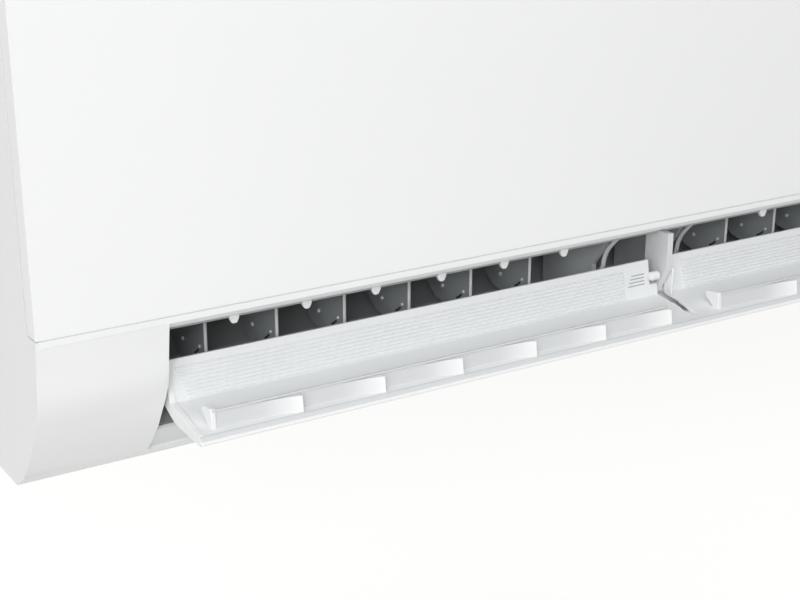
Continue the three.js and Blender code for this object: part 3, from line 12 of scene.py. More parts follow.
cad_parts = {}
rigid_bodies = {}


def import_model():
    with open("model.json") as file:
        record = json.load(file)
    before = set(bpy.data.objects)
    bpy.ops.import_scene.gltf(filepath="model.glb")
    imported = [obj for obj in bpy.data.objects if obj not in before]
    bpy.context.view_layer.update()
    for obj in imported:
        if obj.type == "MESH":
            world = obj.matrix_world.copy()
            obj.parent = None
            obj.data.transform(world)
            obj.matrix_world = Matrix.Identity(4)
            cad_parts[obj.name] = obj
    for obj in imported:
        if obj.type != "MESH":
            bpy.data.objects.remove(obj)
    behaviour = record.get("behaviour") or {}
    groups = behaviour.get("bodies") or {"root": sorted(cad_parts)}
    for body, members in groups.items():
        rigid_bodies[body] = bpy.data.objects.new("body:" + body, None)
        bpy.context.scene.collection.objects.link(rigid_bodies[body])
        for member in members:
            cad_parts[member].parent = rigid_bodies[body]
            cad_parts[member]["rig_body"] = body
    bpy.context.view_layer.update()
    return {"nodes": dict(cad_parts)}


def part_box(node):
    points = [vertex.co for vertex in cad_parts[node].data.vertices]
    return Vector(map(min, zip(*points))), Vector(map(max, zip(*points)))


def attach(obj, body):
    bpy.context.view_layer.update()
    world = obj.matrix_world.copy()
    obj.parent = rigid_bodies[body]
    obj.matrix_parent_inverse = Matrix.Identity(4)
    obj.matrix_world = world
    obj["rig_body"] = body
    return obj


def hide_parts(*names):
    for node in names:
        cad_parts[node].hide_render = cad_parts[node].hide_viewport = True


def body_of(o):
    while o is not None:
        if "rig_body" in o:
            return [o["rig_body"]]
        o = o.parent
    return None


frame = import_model()

# ---- sizes in millimetres, as in the frame ---------------------------------------------------
MM = 0.001
BODY_DEPTH = 200
SEAM_HEIGHT = -41
OUTLET_LEFT = -339
OUTLET_RIGHT = 299
OUTLET_MIDDLE = -20
FLAP_END_GAP = 2.6
FLAP_LEFT = OUTLET_LEFT + FLAP_END_GAP
FLAP_RIGHT = OUTLET_RIGHT - FLAP_END_GAP
FLAP_PIVOT = (18.5, -48.3)
FLAP_OPEN = 82
FLAP_SKIN = 1.8
FLAP_OUTER = [(2.4, -5.8), (1.4, -10), (3.4, -23.5), (6, -38), (11.4, -48.6), (22.2, -65)]
FLAP_LIP = [(5.8, -8.2), (7.6, -18.5), (11.2, -27.7), (15.1, -43.2)]
FLAP_TIP = (37, -44.2)
OUTER_STEPS = 6
LIP_STEPS = 5
LINING_SKIN = 1.4
NOTCH_WIDTH = 5.6                  # opening in the wall left of the arm
RAIL_FRONT = -14.6                 # face of the rail towards the free edge
RAIL_THICKNESS = 1.6
RAIL_ROOT = 4.8
RAIL_TOP = 16
RAIL_START = 10
RAIL_STOP = 20
BLOCK_PITCH = 47.6
BLOCK_WIDTH = 9.5
BLOCK_RAMP = 31
BLOCK_OUT = 5
BLOCK_HOLLOW = 2.2                 # 1 would be a straight ramp
HIGHLIGHT_START_SHARE = 0.35                  # share of the ramp before its painted highlight begins
SLOT_HALF = 3
RIM_WIDTH = 3
RIM_PROUD = 0.5
RIB_COUNT = 11
RIB_PITCH = 2
RIB_FIRST = 4.6                    # from the wall's tip to the nearest rib
RIB_HEIGHT = 0.9
RIB_FOOT = 0.6                     # half a rib's width at its foot
RIB_CREST = 0.25                   # half its width at its crest
RIB_SUNK = 0.3
BOSS_CENTRE = (27.2, -41.6)
SLEEVE_RADIUS = 4
SLEEVE_LENGTH = 9
SLOT_WALL = 0.8
SHADE_LINE_COUNT = 4
SHADE_LINE_FIRST = 22.6
SHADE_LINE_PITCH = 2
SHADE_LINE_WIDTH = 0.7
VANE_FIRST = 76.4
VANE_PITCH = 41.3
VANE_COUNT = 6
VANE_HALF = 0.8
VANE_PIVOT = 62
VANE_FRONT = 42
VANE_TOP = -13
VANE_BOTTOM = -53
TAB_OFFSET = 5.2
TAB_LENGTH = 3
FAN_CENTRE = (108, 30)
FAN_RADIUS = 48
FAN_BAYS = 9
FAN_BLADES = 36
FAN_DISC = 2
HUB_RADIUS = 9
HUB_LENGTH = 14
COIL_LINES = {
    "fin_pack_front": ((37, -2), (37, 84)),
    "fin_pack_top": ((36, 98), (94, 163.4)),
    "fin_pack_rear": ((118, 159), (172, 92.5)),
}
COIL_HALF = 13
FINS_LEFT = -334.4
FINS_RIGHT = 294.4
FIN_PITCH = 2.2
FIN_THICKNESS = 0.35
TUBE_RADIUS = 3.5
TUBE_PITCH = 21
TUBE_ROW = 6.5                     # each row's distance from the slab's middle
TUBE_STAGGER = 5
WEAVE_DEPTH = 17.4
WEAVE_PITCH = 3
WEAVE_MARGIN = 9                   # width of the filter's plain frame at its two ends
WEAVE_LOW = 29
WEAVE_HIGH = 176
STRAND = 0.5
MERGE_DISTANCE = 2e-6              # in metres
FLAT_ANGLE = 0.4                   # degrees within which neighbouring faces count as flat
# Nodes whose flat faces have so many holes that they stay in triangles.
PIERCED = ("top_grille", "filter_left", "filter_right", "link_rod_left", "link_rod_right",
           "mounting_plate", "vane_carrier_left", "vane_carrier_right", "front_panel")


def place(x, depth, rise):
    """A point of the section frame in metres."""
    return Vector((x, depth - BODY_DEPTH, rise + SEAM_HEIGHT)) * MM


def about_x(centre, degrees):
    """A turn about a line along X through a section point."""
    middle = place(0, *centre)
    turn = Matrix.Rotation(math.radians(degrees), 4, "X")
    return Matrix.Translation(middle) @ turn @ Matrix.Translation(-middle)


FLAP_TURN = about_x(FLAP_PIVOT, FLAP_OPEN)


def smooth_line(points, steps):
    """A smooth line through section points."""
    knots = [Vector((*point, 0)) for point in points]
    knots = [knots[0], *knots, knots[-1]]
    line = [knots[0]]
    for before, start, end, after in zip(knots, knots[1:], knots[2:], knots[3:]):
        lead = start + (end - before) / 6
        trail = end - (after - start) / 6
        line += interpolate_bezier(start, lead, trail, end, steps + 1)[1:]
    return [(point.x, point.y) for point in line]


def aside(points, distance):
    """The same line moved to its left."""
    moved = []
    for index, point in enumerate(points):
        before = Vector(points[max(index - 1, 0)])
        after = Vector(points[min(index + 1, len(points) - 1)])
        along = (after - before).normalized()
        moved.append((point[0] - along.y * distance, point[1] + along.x * distance))
    return moved


def strip(points, thickness):
    """A closed outline of even thickness on the left of a line."""
    return [*points, *reversed(aside(points, thickness))]


# ---- making pieces ---------------------------------------------------------------------------
def sweep(bm, ring, shift, turn=None):
    """Makes a solid from a ring of vertices by a shift in millimetres, and then turns it."""
    made = bmesh.ops.extrude_face_region(bm, geom=[bm.faces.new(ring)])
    far = [item for item in made["geom"] if isinstance(item, bmesh.types.BMVert)]
    bmesh.ops.translate(bm, verts=far, vec=[along * MM for along in shift])
    if turn:
        bmesh.ops.transform(bm, matrix=turn, verts=ring + far)


def bar(bm, outline, start, stop, turn=None):
    """Extrudes a section along X."""
    ring = [bm.verts.new(place(start, depth, rise)) for depth, rise in outline]
    sweep(bm, ring, (stop - start, 0, 0), turn)


def rod(bm, radius, start, stop, centre, sides=28, turn=None):
    """A round bar along X."""
    along = Matrix.Rotation(math.pi / 2, 4, "Y")
    spot = Matrix.Translation(place((start + stop) / 2, *centre))
    made = bmesh.ops.create_cone(
        bm, cap_ends=True, segments=sides, radius1=radius * MM, radius2=radius * MM,
        depth=(stop - start) * MM, matrix=spot @ along)
    if turn:
        bmesh.ops.transform(bm, matrix=turn, verts=made["verts"])


def settle(bm, name, body, finish, nodes=(), ease=0.0, steps=2, crease=32):
    """Makes a bmesh a piece that rides on a body; ease rounds its sharp edges, in millimetres."""
    bmesh.ops.recalc_face_normals(bm, faces=bm.faces)
    mesh = bpy.data.meshes.new(name)
    bm.to_mesh(mesh)
    bm.free()
    piece = bpy.data.objects.new(name, mesh)
    bpy.context.scene.collection.objects.link(piece)
    finishes = finish if isinstance(finish, (list, tuple)) else [finish]
    for material in finishes:
        mesh.materials.append(material)
    mesh.shade_smooth()
    mesh.set_sharp_from_angle(angle=math.radians(crease))
    if ease:
        rounding = piece.modifiers.new("eased edges", "BEVEL")
        rounding.width = ease * MM
        rounding.segments = steps
        rounding.limit_method = "ANGLE"
        rounding.angle_limit = math.radians(crease)
        rounding.miter_outer = "MITER_ARC"
        rounding.harden_normals = False
    flats = piece.modifiers.new("flat faces stay flat", "WEIGHTED_NORMAL")
    flats.keep_sharp = True
    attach(piece, body)
    if nodes:
        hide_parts(*nodes)
    return piece


def eased_copy(node, finish, ease=0.3, steps=2, second=None):
    """A CAD node's mesh, merged and with its sharp edges rounded. Faces that second picks out
    take the second finish."""
    source = frame["nodes"][node]
    bm = bmesh.new()
    bm.from_mesh(source.data)
    bmesh.ops.remove_doubles(bm, verts=bm.verts, dist=MERGE_DISTANCE)
    if node not in PIERCED:
        bmesh.ops.dissolve_limit(bm, angle_limit=math.radians(FLAT_ANGLE), verts=bm.verts,
                                 edges=bm.edges, delimit=set())
    for face in bm.faces:
        face.material_index = 1 if second and second(face.calc_center_median()) else 0
    settle(bm, f"{node}_moulded", body_of(source)[0], finish, [node], ease, steps)


def linear(code):
    """An sRGB hex colour as linear values."""
    parts = [int(code[start:start + 2], 16) / 255 for start in (1, 3, 5)]
    bright = [part / 12.92 if part <= 0.04045 else ((part + 0.055) / 1.055) ** 2.4
              for part in parts]
    return (*bright, 1.0)


def add(tree, kind, links=(), **settings):
    """Adds a node with its settings, which are properties or input values, and its links."""
    made = tree.nodes.new(kind)
    for key, value in settings.items():
        if hasattr(made, key):
            setattr(made, key, value)
        else:
            made.inputs[key.replace("_", " ")].default_value = value
    for socket, output in links:
        tree.links.new(output, made.inputs[socket])
    return made


def surface(name, **fixed):
    """A new material: its tree, its shader with the fixed values, and Object coordinates."""
    material = bpy.data.materials.new(name)
    material.use_nodes = True
    tree = material.node_tree
    shader = tree.nodes["Principled BSDF"]
    for key, value in fixed.items():
        shader.inputs[key.replace("_", " ")].default_value = value
    spots = add(tree, "ShaderNodeTexCoord").outputs["Object"]
    return material, tree, shader, spots


def blended(tree, share, low, high):
    """A colour between two hex colours."""
    ramp = add(tree, "ShaderNodeValToRGB", [("Fac", share)])
    ramp.color_ramp.elements[0].color = linear(low)
    ramp.color_ramp.elements[1].color = linear(high)
    return ramp.outputs["Color"]


def moulded(name, low, high, roughness, spread, grain, relief, ior=1.53, cloud=45):
    """Injection-moulded plastic: a faint cloudiness of its colour and a fine pebble on its skin.
    cloud and grain are sizes in millimetres, relief the pebble's height."""
    material, tree, shader, spots = surface(name, IOR=ior)
    flow = add(tree, "ShaderNodeTexNoise", [("Vector", spots)], Scale=1 / (cloud * MM), Detail=3.0)
    tree.links.new(blended(tree, flow.outputs["Fac"], low, high), shader.inputs["Base Color"])
    pebble = add(tree, "ShaderNodeTexNoise", [("Vector", spots)], Scale=1 / (grain * MM),
                 Detail=2.0)
    wear = add(tree, "ShaderNodeMapRange", [("Value", pebble.outputs["Fac"])], From_Min=0.3,
               From_Max=0.7, To_Min=roughness - spread, To_Max=roughness + spread)
    tree.links.new(wear.outputs["Result"], shader.inputs["Roughness"])
    bump = add(tree, "ShaderNodeBump", [("Height", pebble.outputs["Fac"])], Strength=0.6,
               Distance=relief * MM)
    tree.links.new(bump.outputs["Normal"], shader.inputs["Normal"])
    return material


def painted_highlight_where(material, attribute, code):
    """Paints a highlight on a moulded finish: a paler colour where a piece's attribute is 1."""
    tree = material.node_tree
    colour = tree.nodes["Principled BSDF"].inputs["Base Color"]
    plain = colour.links[0].from_socket
    share = add(tree, "ShaderNodeAttribute", attribute_name=attribute)
    mixed = add(tree, "ShaderNodeMixRGB", [("Fac", share.outputs["Fac"]), ("Color1", plain)],
                Color2=linear(code))
    tree.links.new(mixed.outputs["Color"], colour)
    return material


def metal(name, low, high, roughness, spread, cell, relief, stretch=(1, 1, 1)):
    """Bare or plated metal: patches of two tones with their own roughness. cell is a patch's size
    in millimetres, and stretch draws the patches out along a direction."""
    material, tree, shader, spots = surface(name, Metallic=1.0)
    drawn = add(tree, "ShaderNodeMapping", [("Vector", spots)], Scale=stretch)
    patch = add(tree, "ShaderNodeTexVoronoi", [("Vector", drawn.outputs["Vector"])],
                Scale=1 / (cell * MM), Randomness=0.9)
    tint = add(tree, "ShaderNodeSeparateColor", [("Color", patch.outputs["Color"])])
    tree.links.new(blended(tree, tint.outputs["Red"], low, high), shader.inputs["Base Color"])
    wear = add(tree, "ShaderNodeMapRange", [("Value", tint.outputs["Green"])],
               To_Min=roughness - spread, To_Max=roughness + spread)
    tree.links.new(wear.outputs["Result"], shader.inputs["Roughness"])
    fine = add(tree, "ShaderNodeTexNoise", [("Vector", drawn.outputs["Vector"])],
               Scale=4 / (cell * MM), Detail=4.0)
    bump = add(tree, "ShaderNodeBump", [("Height", fine.outputs["Fac"])], Strength=0.5,
               Distance=relief * MM)
    tree.links.new(bump.outputs["Normal"], shader.inputs["Normal"])
    return material


# Glossy ABS of the front panel: a clean sheen with a slow, very shallow waviness.
PANEL_ABS = moulded("gloss moulded ABS", "#EEEFEF", "#F1F2F2", 0.24, 0.02, 22, 0.012, cloud=160)
# Satin ABS of the casing and the flap's outer skin: an even white with a fine grain.
CASING_ABS = moulded("satin moulded ABS", "#ECEDED", "#F0F1F1", 0.36, 0.05, 0.8, 0.01)
# The flap's lining: slightly greyer ABS, whose ribs catch the light.
LINING_ABS = moulded("ribbed flap ABS", "#E8EAEB", "#EDEFF0", 0.38, 0.05, 0.9, 0.012)
# The rail, its pockets and the free edge: the flap's ABS a tone deeper and less glossy, matched;
# the deeper tone is painted shade.
# Each pocket's ramp turns paler towards its raised end: a painted highlight where the curving ramp
# turns to the light. Each pocket's ramp turns paler towards its raised end, as seen; the cause
# isn't known.
RAIL_PAINTED_SHADE_AND_HIGHLIGHT = painted_highlight_where(moulded("flap ABS, painted shade and highlight", "#D1D3D5", "#D7D9DB", 0.46, 0.05, 0.9, 0.012),
                       "raised", "#F1F2F2")
# Light grey ABS of the arm, the guide rims, the drain pan and the sill: a soft even tone; on the
# sill it is painted shade from the open flap.
ARM_ABS = moulded("light grey moulded ABS", "#DADCDD", "#E1E3E4", 0.42, 0.05, 0.9, 0.012)
# Grey ABS of the trim's lower lip and of the strips on the flap's wall: its grey tone is painted
# shade, standing in for dark lines.
LINTEL_PAINTED_SHADE = moulded("trim ABS, painted shade", "#A6A8A9", "#AEB0B1", 0.42, 0.05, 0.9, 0.012)
# Grey polypropylene of the vanes' blades: a dull sheen.
VANE_PP = moulded("grey polypropylene", "#9CA1A3", "#A7ABAD", 0.4, 0.06, 1.2, 0.015, 1.49)
# Paler finish for each vane's front edge, matched: a bright upright line of painted highlight,
# where the edges catch the light.
VANE_EDGE_HIGHLIGHT = moulded("vane edge, painted highlight", "#ECEEEE", "#F1F3F3", 0.36, 0.05, 1.2, 0.01, 1.49)
# Grey polystyrene of the duct and scroll: almost matt, its tone set against the bays.
DUCT_PS = moulded("grey polystyrene", "#B4B8BA", "#BDC1C3", 0.55, 0.06, 1.4, 0.02, 1.59)
# Glass-filled black plastic of the fan, carriers and rods: a faint mottle.
FAN_PLASTIC = moulded("glass-filled black plastic", "#26282A", "#303335", 0.46, 0.08, 1.6, 0.02,
                      1.5, 12)
# Matt ABS of the chassis and other hidden parts: an off-white without sheen.
CHASSIS_ABS = moulded("matt moulded ABS", "#E0E1E0", "#E7E8E7", 0.5, 0.05, 1.0, 0.015)
# Polypropylene of the filters' frames and strands: a dull blue grey.
FILTER_PP = moulded("grey filter polypropylene", "#8C9398", "#989FA4", 0.55, 0.06, 0.7, 0.03,
                    1.49, 8)
# Vulcanised rubber of the bearing's seat: dusty black.
SEAT_RUBBER = moulded("vulcanised rubber", "#26272A", "#303134", 0.8, 0.06, 0.9, 0.03, 1.52, 6)
# Dark smoked acrylic of the receiver's window: a hard gloss.
LENS_ACRYLIC = moulded("smoked acrylic", "#17191B", "#1D1F22", 0.08, 0.02, 30, 0.002, 1.49)
# Hot-dip galvanised sheet: spangles of two greys.
GALVANISED = metal("galvanised steel sheet", "#9BA1A5", "#B4B9BC", 0.42, 0.1, 5, 0.02)
# Zinc-plated steel of the motor, shafts and screws: narrow patches round the axis.
PLATED = metal("zinc-plated steel", "#A9ADB0", "#BEC2C4", 0.3, 0.05, 1.2, 0.01, (1, 0.2, 0.2))
# Rolled aluminium of the fins: bright, with upright streaks.
FIN_ALUMINIUM = metal("rolled aluminium fin", "#BFC4C7", "#D3D7D9", 0.38, 0.06, 2.5, 0.01,
                      (1, 1, 0.1))
# Drawn copper tube: salmon with browner patches drawn out along its length.
TUBE_COPPER = metal("drawn copper tube", "#A8623F", "#CB8460", 0.32, 0.08, 6, 0.01, (0.3, 1, 1))
# Turned brass of the nuts and the bearing.
NUT_BRASS = metal("turned brass", "#B08F4C", "#C9AC6C", 0.28, 0.05, 1.5, 0.008, (1, 0.2, 0.2))
# Black cases of the parts on the circuit board and of the terminal block: a coarse mottle.
CASED_PARTS = moulded("black-cased components", "#202224", "#34373A", 0.5, 0.08, 1.5, 0.03, 1.5, 14)


def laminate():
    """Glass-epoxy laminate: fields of two greens about 5 mm long, parted by thin darker lines."""
    material, tree, shader, spots = surface("glass-epoxy laminate", IOR=1.55)
    tracks = add(tree, "ShaderNodeTexBrick", [("Vector", spots)], Color1=linear("#2F7A4F"),
                 Color2=linear("#3A8A5C"), Mortar=linear("#1F5A39"), Scale=90.0, Mortar_Size=0.03)
    tree.links.new(tracks.outputs["Color"], shader.inputs["Base Color"])
    speck = add(tree, "ShaderNodeTexNoise", [("Vector", spots)], Scale=1 / (3 * MM))
    wear = add(tree, "ShaderNodeMapRange", [("Value", speck.outputs["Fac"])], To_Min=0.25,
               To_Max=0.5)
    tree.links.new(wear.outputs["Result"], shader.inputs["Roughness"])
    bump = add(tree, "ShaderNodeBump", [("Height", tracks.outputs["Fac"])], Strength=0.4,
               Distance=0.05 * MM)
    tree.links.new(bump.outputs["Normal"], shader.inputs["Normal"])
    return material


BOARD_LAMINATE = laminate()


# ---- camera ----------------------------------------------------------------------------------
EYE = (-0.5932, -0.8363, 0.21405)  # in metres
EYE_DOWN = 20.023                  # in degrees, as is the next
EYE_AZIMUTH = 31.016
LENS = 68.04
SENSOR_WIDTH = 36


def viewpoint():
    """The photograph's camera, solved from the seam, the outlet and the flap's edge."""
    lens = bpy.data.cameras.new("viewpoint")
    lens.sensor_width = SENSOR_WIDTH
    lens.lens = LENS
    eye = bpy.data.objects.new("viewpoint", lens)
    eye.location = EYE
    eye.rotation_euler = (math.radians(90 - EYE_DOWN), 0, math.radians(-EYE_AZIMUTH))
    bpy.context.scene.collection.objects.link(eye)
    bpy.context.scene.camera = eye


viewpoint()


# ---- flap ------------------------------------------------------------------------------------
def end_rim(bm, start, stop):
    """End of the flap: closes its section and stands a little proud of the lip and the wall."""
    outer = aside(smooth_line(FLAP_OUTER, OUTER_STEPS), -0.1)
    lip = aside(smooth_line(FLAP_LIP, LIP_STEPS), RIM_PROUD)[1:-1]
    corner = (FLAP_LIP[-1][0] + RIM_PROUD, FLAP_LIP[-1][1] + RIM_PROUD)
    outline = [*outer, (FLAP_TIP[0], FLAP_TIP[1] - FLAP_SKIN),
               (FLAP_TIP[0], FLAP_TIP[1] + RIM_PROUD), corner, *reversed(lip)]
    bar(bm, outline, start, stop, FLAP_TURN)


def flap_shell():
    """Outer skin of the flap, its closed free edge, and the raised rims at its two ends."""
    bm = bmesh.new()
    skin = strip(smooth_line(FLAP_OUTER, OUTER_STEPS), FLAP_SKIN)
    bar(bm, skin, FLAP_LEFT, FLAP_RIGHT, FLAP_TURN)
    settle(bm, "flap_shell", "flap", CASING_ABS, ["flap_outer"], 0.7, 3)
    bm = bmesh.new()
    edge = [(2.5, -6), (3.2, -6.3), (5.8, -8.1), (6.2, -9.6), (3.6, -9.4), (2, -8.6)]
    bar(bm, edge, FLAP_LEFT + 0.1, FLAP_RIGHT - 0.1, FLAP_TURN)
    # The free edge takes the rail's deeper tone as painted shade.
    settle(bm, "flap_free_edge", "flap", RAIL_PAINTED_SHADE_AND_HIGHLIGHT, (), 0.35, 2)
    bm = bmesh.new()
    for start in (FLAP_LEFT, FLAP_RIGHT - RIM_WIDTH):
        end_rim(bm, start - 0.05, start + RIM_WIDTH + 0.05)
    settle(bm, "flap_end_rims", "flap", CASING_ABS, (), 0.5, 3)


def lining_faces(bm, start, stop, notch=0):
    """Lip, wall and sloping back of the lining between two places along X; the wall and the back
    may stop short by a notch."""
    bar(bm, strip(smooth_line(FLAP_LIP, LIP_STEPS), -LINING_SKIN), start, stop, FLAP_TURN)
    corner, tip = FLAP_LIP[-1], FLAP_TIP
    under = tip[1] - FLAP_SKIN
    wall = [(corner[0] - 1.2, corner[1]), tip, (tip[0], under),
            (corner[0] - 0.6, corner[1] - FLAP_SKIN)]
    back = [(20.6, -66), (tip[0], under), (tip[0] - LINING_SKIN, under), (19.4, -64.4)]
    for outline in (wall, back):
        bar(bm, outline, start, stop - notch, FLAP_TURN)
    if notch:
        low = [(corner[0] - 1.2, corner[1]), (22, -43.6), (22, -45.2), (corner[0] - 0.6, -45)]
        bar(bm, low, stop - notch, stop, FLAP_TURN)


def rail(bm, start, stop):
    """Long rail whose far edge overhangs in a rounded bead."""
    low = RAIL_FRONT - RAIL_THICKNESS
    outline = [(RAIL_ROOT, low), (RAIL_TOP - 0.5, low), (RAIL_TOP, low + 0.5),
               (RAIL_TOP + 0.2, RAIL_FRONT + 0.2), (RAIL_TOP, RAIL_FRONT + 0.8),
               (RAIL_TOP - 0.6, RAIL_FRONT + 1), (RAIL_TOP - 1.1, RAIL_FRONT + 0.6),
               (RAIL_TOP - 1.3, RAIL_FRONT), (RAIL_ROOT, RAIL_FRONT)]
    bar(bm, outline, start, stop, FLAP_TURN)


def rail_block(bm, right):
    """A pocket's end before the rail: a long hollow ramp rising to a square step on its right."""
    shares = (0, 0.15, 0.3, 0.45, 0.6, 0.72, 0.83, 0.92, 1)
    plan = [(right - BLOCK_RAMP * (1 - share), BLOCK_OUT * share ** BLOCK_HOLLOW)
            for share in shares]
    plan.append((right, -0.2))
    raised = bm.verts.layers.float.get("raised") or bm.verts.layers.float.new("raised")
    ring = [bm.verts.new(place(x, RAIL_ROOT, RAIL_FRONT - 0.05 + out)) for x, out in plan]
    for corner, share in zip(ring, (*shares, 1)):
        # The raised attribute is the painted highlight: 0 over the ramp's first part, growing to 1
        # at its raised end.
        corner[raised] = max(share - HIGHLIGHT_START_SHARE, 0) / (1 - HIGHLIGHT_START_SHARE)
    sweep(bm, ring, (0, RAIL_TOP - LINING_SKIN - RAIL_ROOT, 0), FLAP_TURN)


def end_fin(bm, x, width):
    """Flag-shaped web at a rail's end: wide and rounded at the top, narrow at its foot."""
    outline = [(RAIL_ROOT, RAIL_FRONT - 1.6), (RAIL_ROOT, RAIL_FRONT + 0.4),
               (RAIL_TOP - 2, RAIL_FRONT + 1), (RAIL_TOP + 0.4, RAIL_FRONT + 0.4),
               (RAIL_TOP + 0.8, RAIL_FRONT - 1.4), (RAIL_TOP + 0.8, RAIL_FRONT - 8.6),
               (RAIL_TOP, RAIL_FRONT - 10.4), (RAIL_TOP - 1.6, RAIL_FRONT - 10.8),
               (RAIL_TOP - 3.4, RAIL_FRONT - 9.6)]
    bar(bm, outline, x, x + width, FLAP_TURN)


def ribs(bm, start, stop, slant):
    """Fine ribs along the wall of the lining, each starting a little further in."""
    corner, tip = Vector(FLAP_LIP[-1]), Vector(FLAP_TIP)
    along = (tip - corner).normalized()
    high, sunk = Vector((0, RIB_HEIGHT)), Vector((0, RIB_SUNK))
    for index in range(RIB_COUNT):
        foot = tip - along * (RIB_FIRST + RIB_PITCH * index)
        crest = [foot - along * RIB_FOOT, foot - along * RIB_CREST + high,
                 foot + along * RIB_CREST + high, foot + along * RIB_FOOT]
        base = [foot + along * RIB_FOOT - sunk, foot - along * RIB_FOOT - sunk]
        outline = [(point.x, point.y) for point in crest + base]
        bar(bm, outline, start + slant * index, stop, FLAP_TURN)


def pivot_details(bm):
    """Boss on the near side of the arm, and the cheek that closes the slot on its far side."""
    rod(bm, 2.7, OUTLET_MIDDLE - 9.6, OUTLET_MIDDLE - 4, BOSS_CENTRE, turn=FLAP_TURN)
    rod(bm, 1.9, OUTLET_MIDDLE - 10.6, OUTLET_MIDDLE - 9, BOSS_CENTRE, turn=FLAP_TURN)
    cheek = [(14.2, -43.6), (14.2, -38.6), (29.4, -36.2), (31.6, -38.6), (32.4, -43.9)]
    bar(bm, cheek, OUTLET_MIDDLE + 3.2, OUTLET_MIDDLE + 4.6, FLAP_TURN)


def flap_lining():
    """Inner skin with its ribs, rails and the pivot bosses beside the arm."""
    lip = smooth_line(FLAP_LIP, LIP_STEPS)
    slot_left, slot_right = OUTLET_MIDDLE - SLOT_HALF, OUTLET_MIDDLE + SLOT_HALF
    bm = bmesh.new()
    lining_faces(bm, FLAP_LEFT + 0.2, slot_left, notch=NOTCH_WIDTH)
    lining_faces(bm, slot_right, FLAP_RIGHT - 0.2)
    bar(bm, strip(lip[:5], -LINING_SKIN), slot_left, slot_right, FLAP_TURN)
    for start in (slot_left, slot_right - SLOT_WALL):
        bar(bm, strip(lip[4:12], -LINING_SKIN), start, start + SLOT_WALL, FLAP_TURN)
    bar(bm, [(6, -17), (7.3, -17), (7.3, -36), (6, -36)], slot_left, slot_right, FLAP_TURN)
    rails = ((FLAP_LEFT + RAIL_START, OUTLET_MIDDLE - RAIL_STOP, FLAP_LEFT),
             (OUTLET_MIDDLE + RAIL_STOP, FLAP_RIGHT - RAIL_START, OUTLET_MIDDLE + RAIL_STOP))
    ribs(bm, FLAP_LEFT + 5, OUTLET_MIDDLE - 28, 0.7)
    ribs(bm, OUTLET_MIDDLE + 16, FLAP_RIGHT - 6, 0.2)
    for start in (slot_left - SLEEVE_LENGTH, slot_right):
        rod(bm, SLEEVE_RADIUS, start, start + SLEEVE_LENGTH, FLAP_PIVOT, turn=FLAP_TURN)
    settle(bm, "flap_lining", "flap", LINING_ABS, ["flap_inner"], 0.25, 2)
    bm = bmesh.new()
    for start, stop, origin in rails:
        rail(bm, start, stop)
        right = origin + BLOCK_PITCH + BLOCK_WIDTH
        while right <= stop + 0.6:
            rail_block(bm, min(right, stop - 0.1))
            right += BLOCK_PITCH
    # The rail's deeper tone is painted shade; the ramps carry a painted highlight.
    settle(bm, "rail_pockets", "flap", RAIL_PAINTED_SHADE_AND_HIGHLIGHT, (), 0.25, 2)
    bm = bmesh.new()
    for x in (FLAP_LEFT + RAIL_START - 0.8, FLAP_RIGHT - RAIL_START - 1.2,
              OUTLET_MIDDLE + RAIL_STOP - 2):
        end_fin(bm, x, 2.6)
    pivot_details(bm)
    settle(bm, "flap_webs", "flap", CASING_ABS, (), 0.5, 3)


def wall_shade_lines():
    """Four short grey strips beside the pivot boss: painted shade between ribs in a recess."""
    bm = bmesh.new()
    (corner_depth, corner_rise), (tip_depth, tip_rise) = FLAP_LIP[-1], FLAP_TIP
    fall = (tip_depth - corner_depth) / (corner_rise - tip_rise)
    for index in range(SHADE_LINE_COUNT):
        depth = SHADE_LINE_FIRST + SHADE_LINE_PITCH * index
        face = corner_rise - (depth - corner_depth) / fall
        near, far = depth, depth + SHADE_LINE_WIDTH
        low, high = face - 0.2, face + 0.06
        shade_line = [(near, low), (far, low), (far, high), (near, high)]
        bar(bm, shade_line, OUTLET_MIDDLE - 25 + index, OUTLET_MIDDLE - 12.5, FLAP_TURN)
    settle(bm, "wall_shade_lines", "flap", LINTEL_PAINTED_SHADE, (), 0.08, 1)


flap_shell()
flap_lining()
# Grey strips on the flap's wall paint shade between ribs beside the boss.
wall_shade_lines()
for node in ("flap_pin_left", "flap_pin_right", "flap_pin_centre"):
    eased_copy(node, CHASSIS_ABS, 0.15)


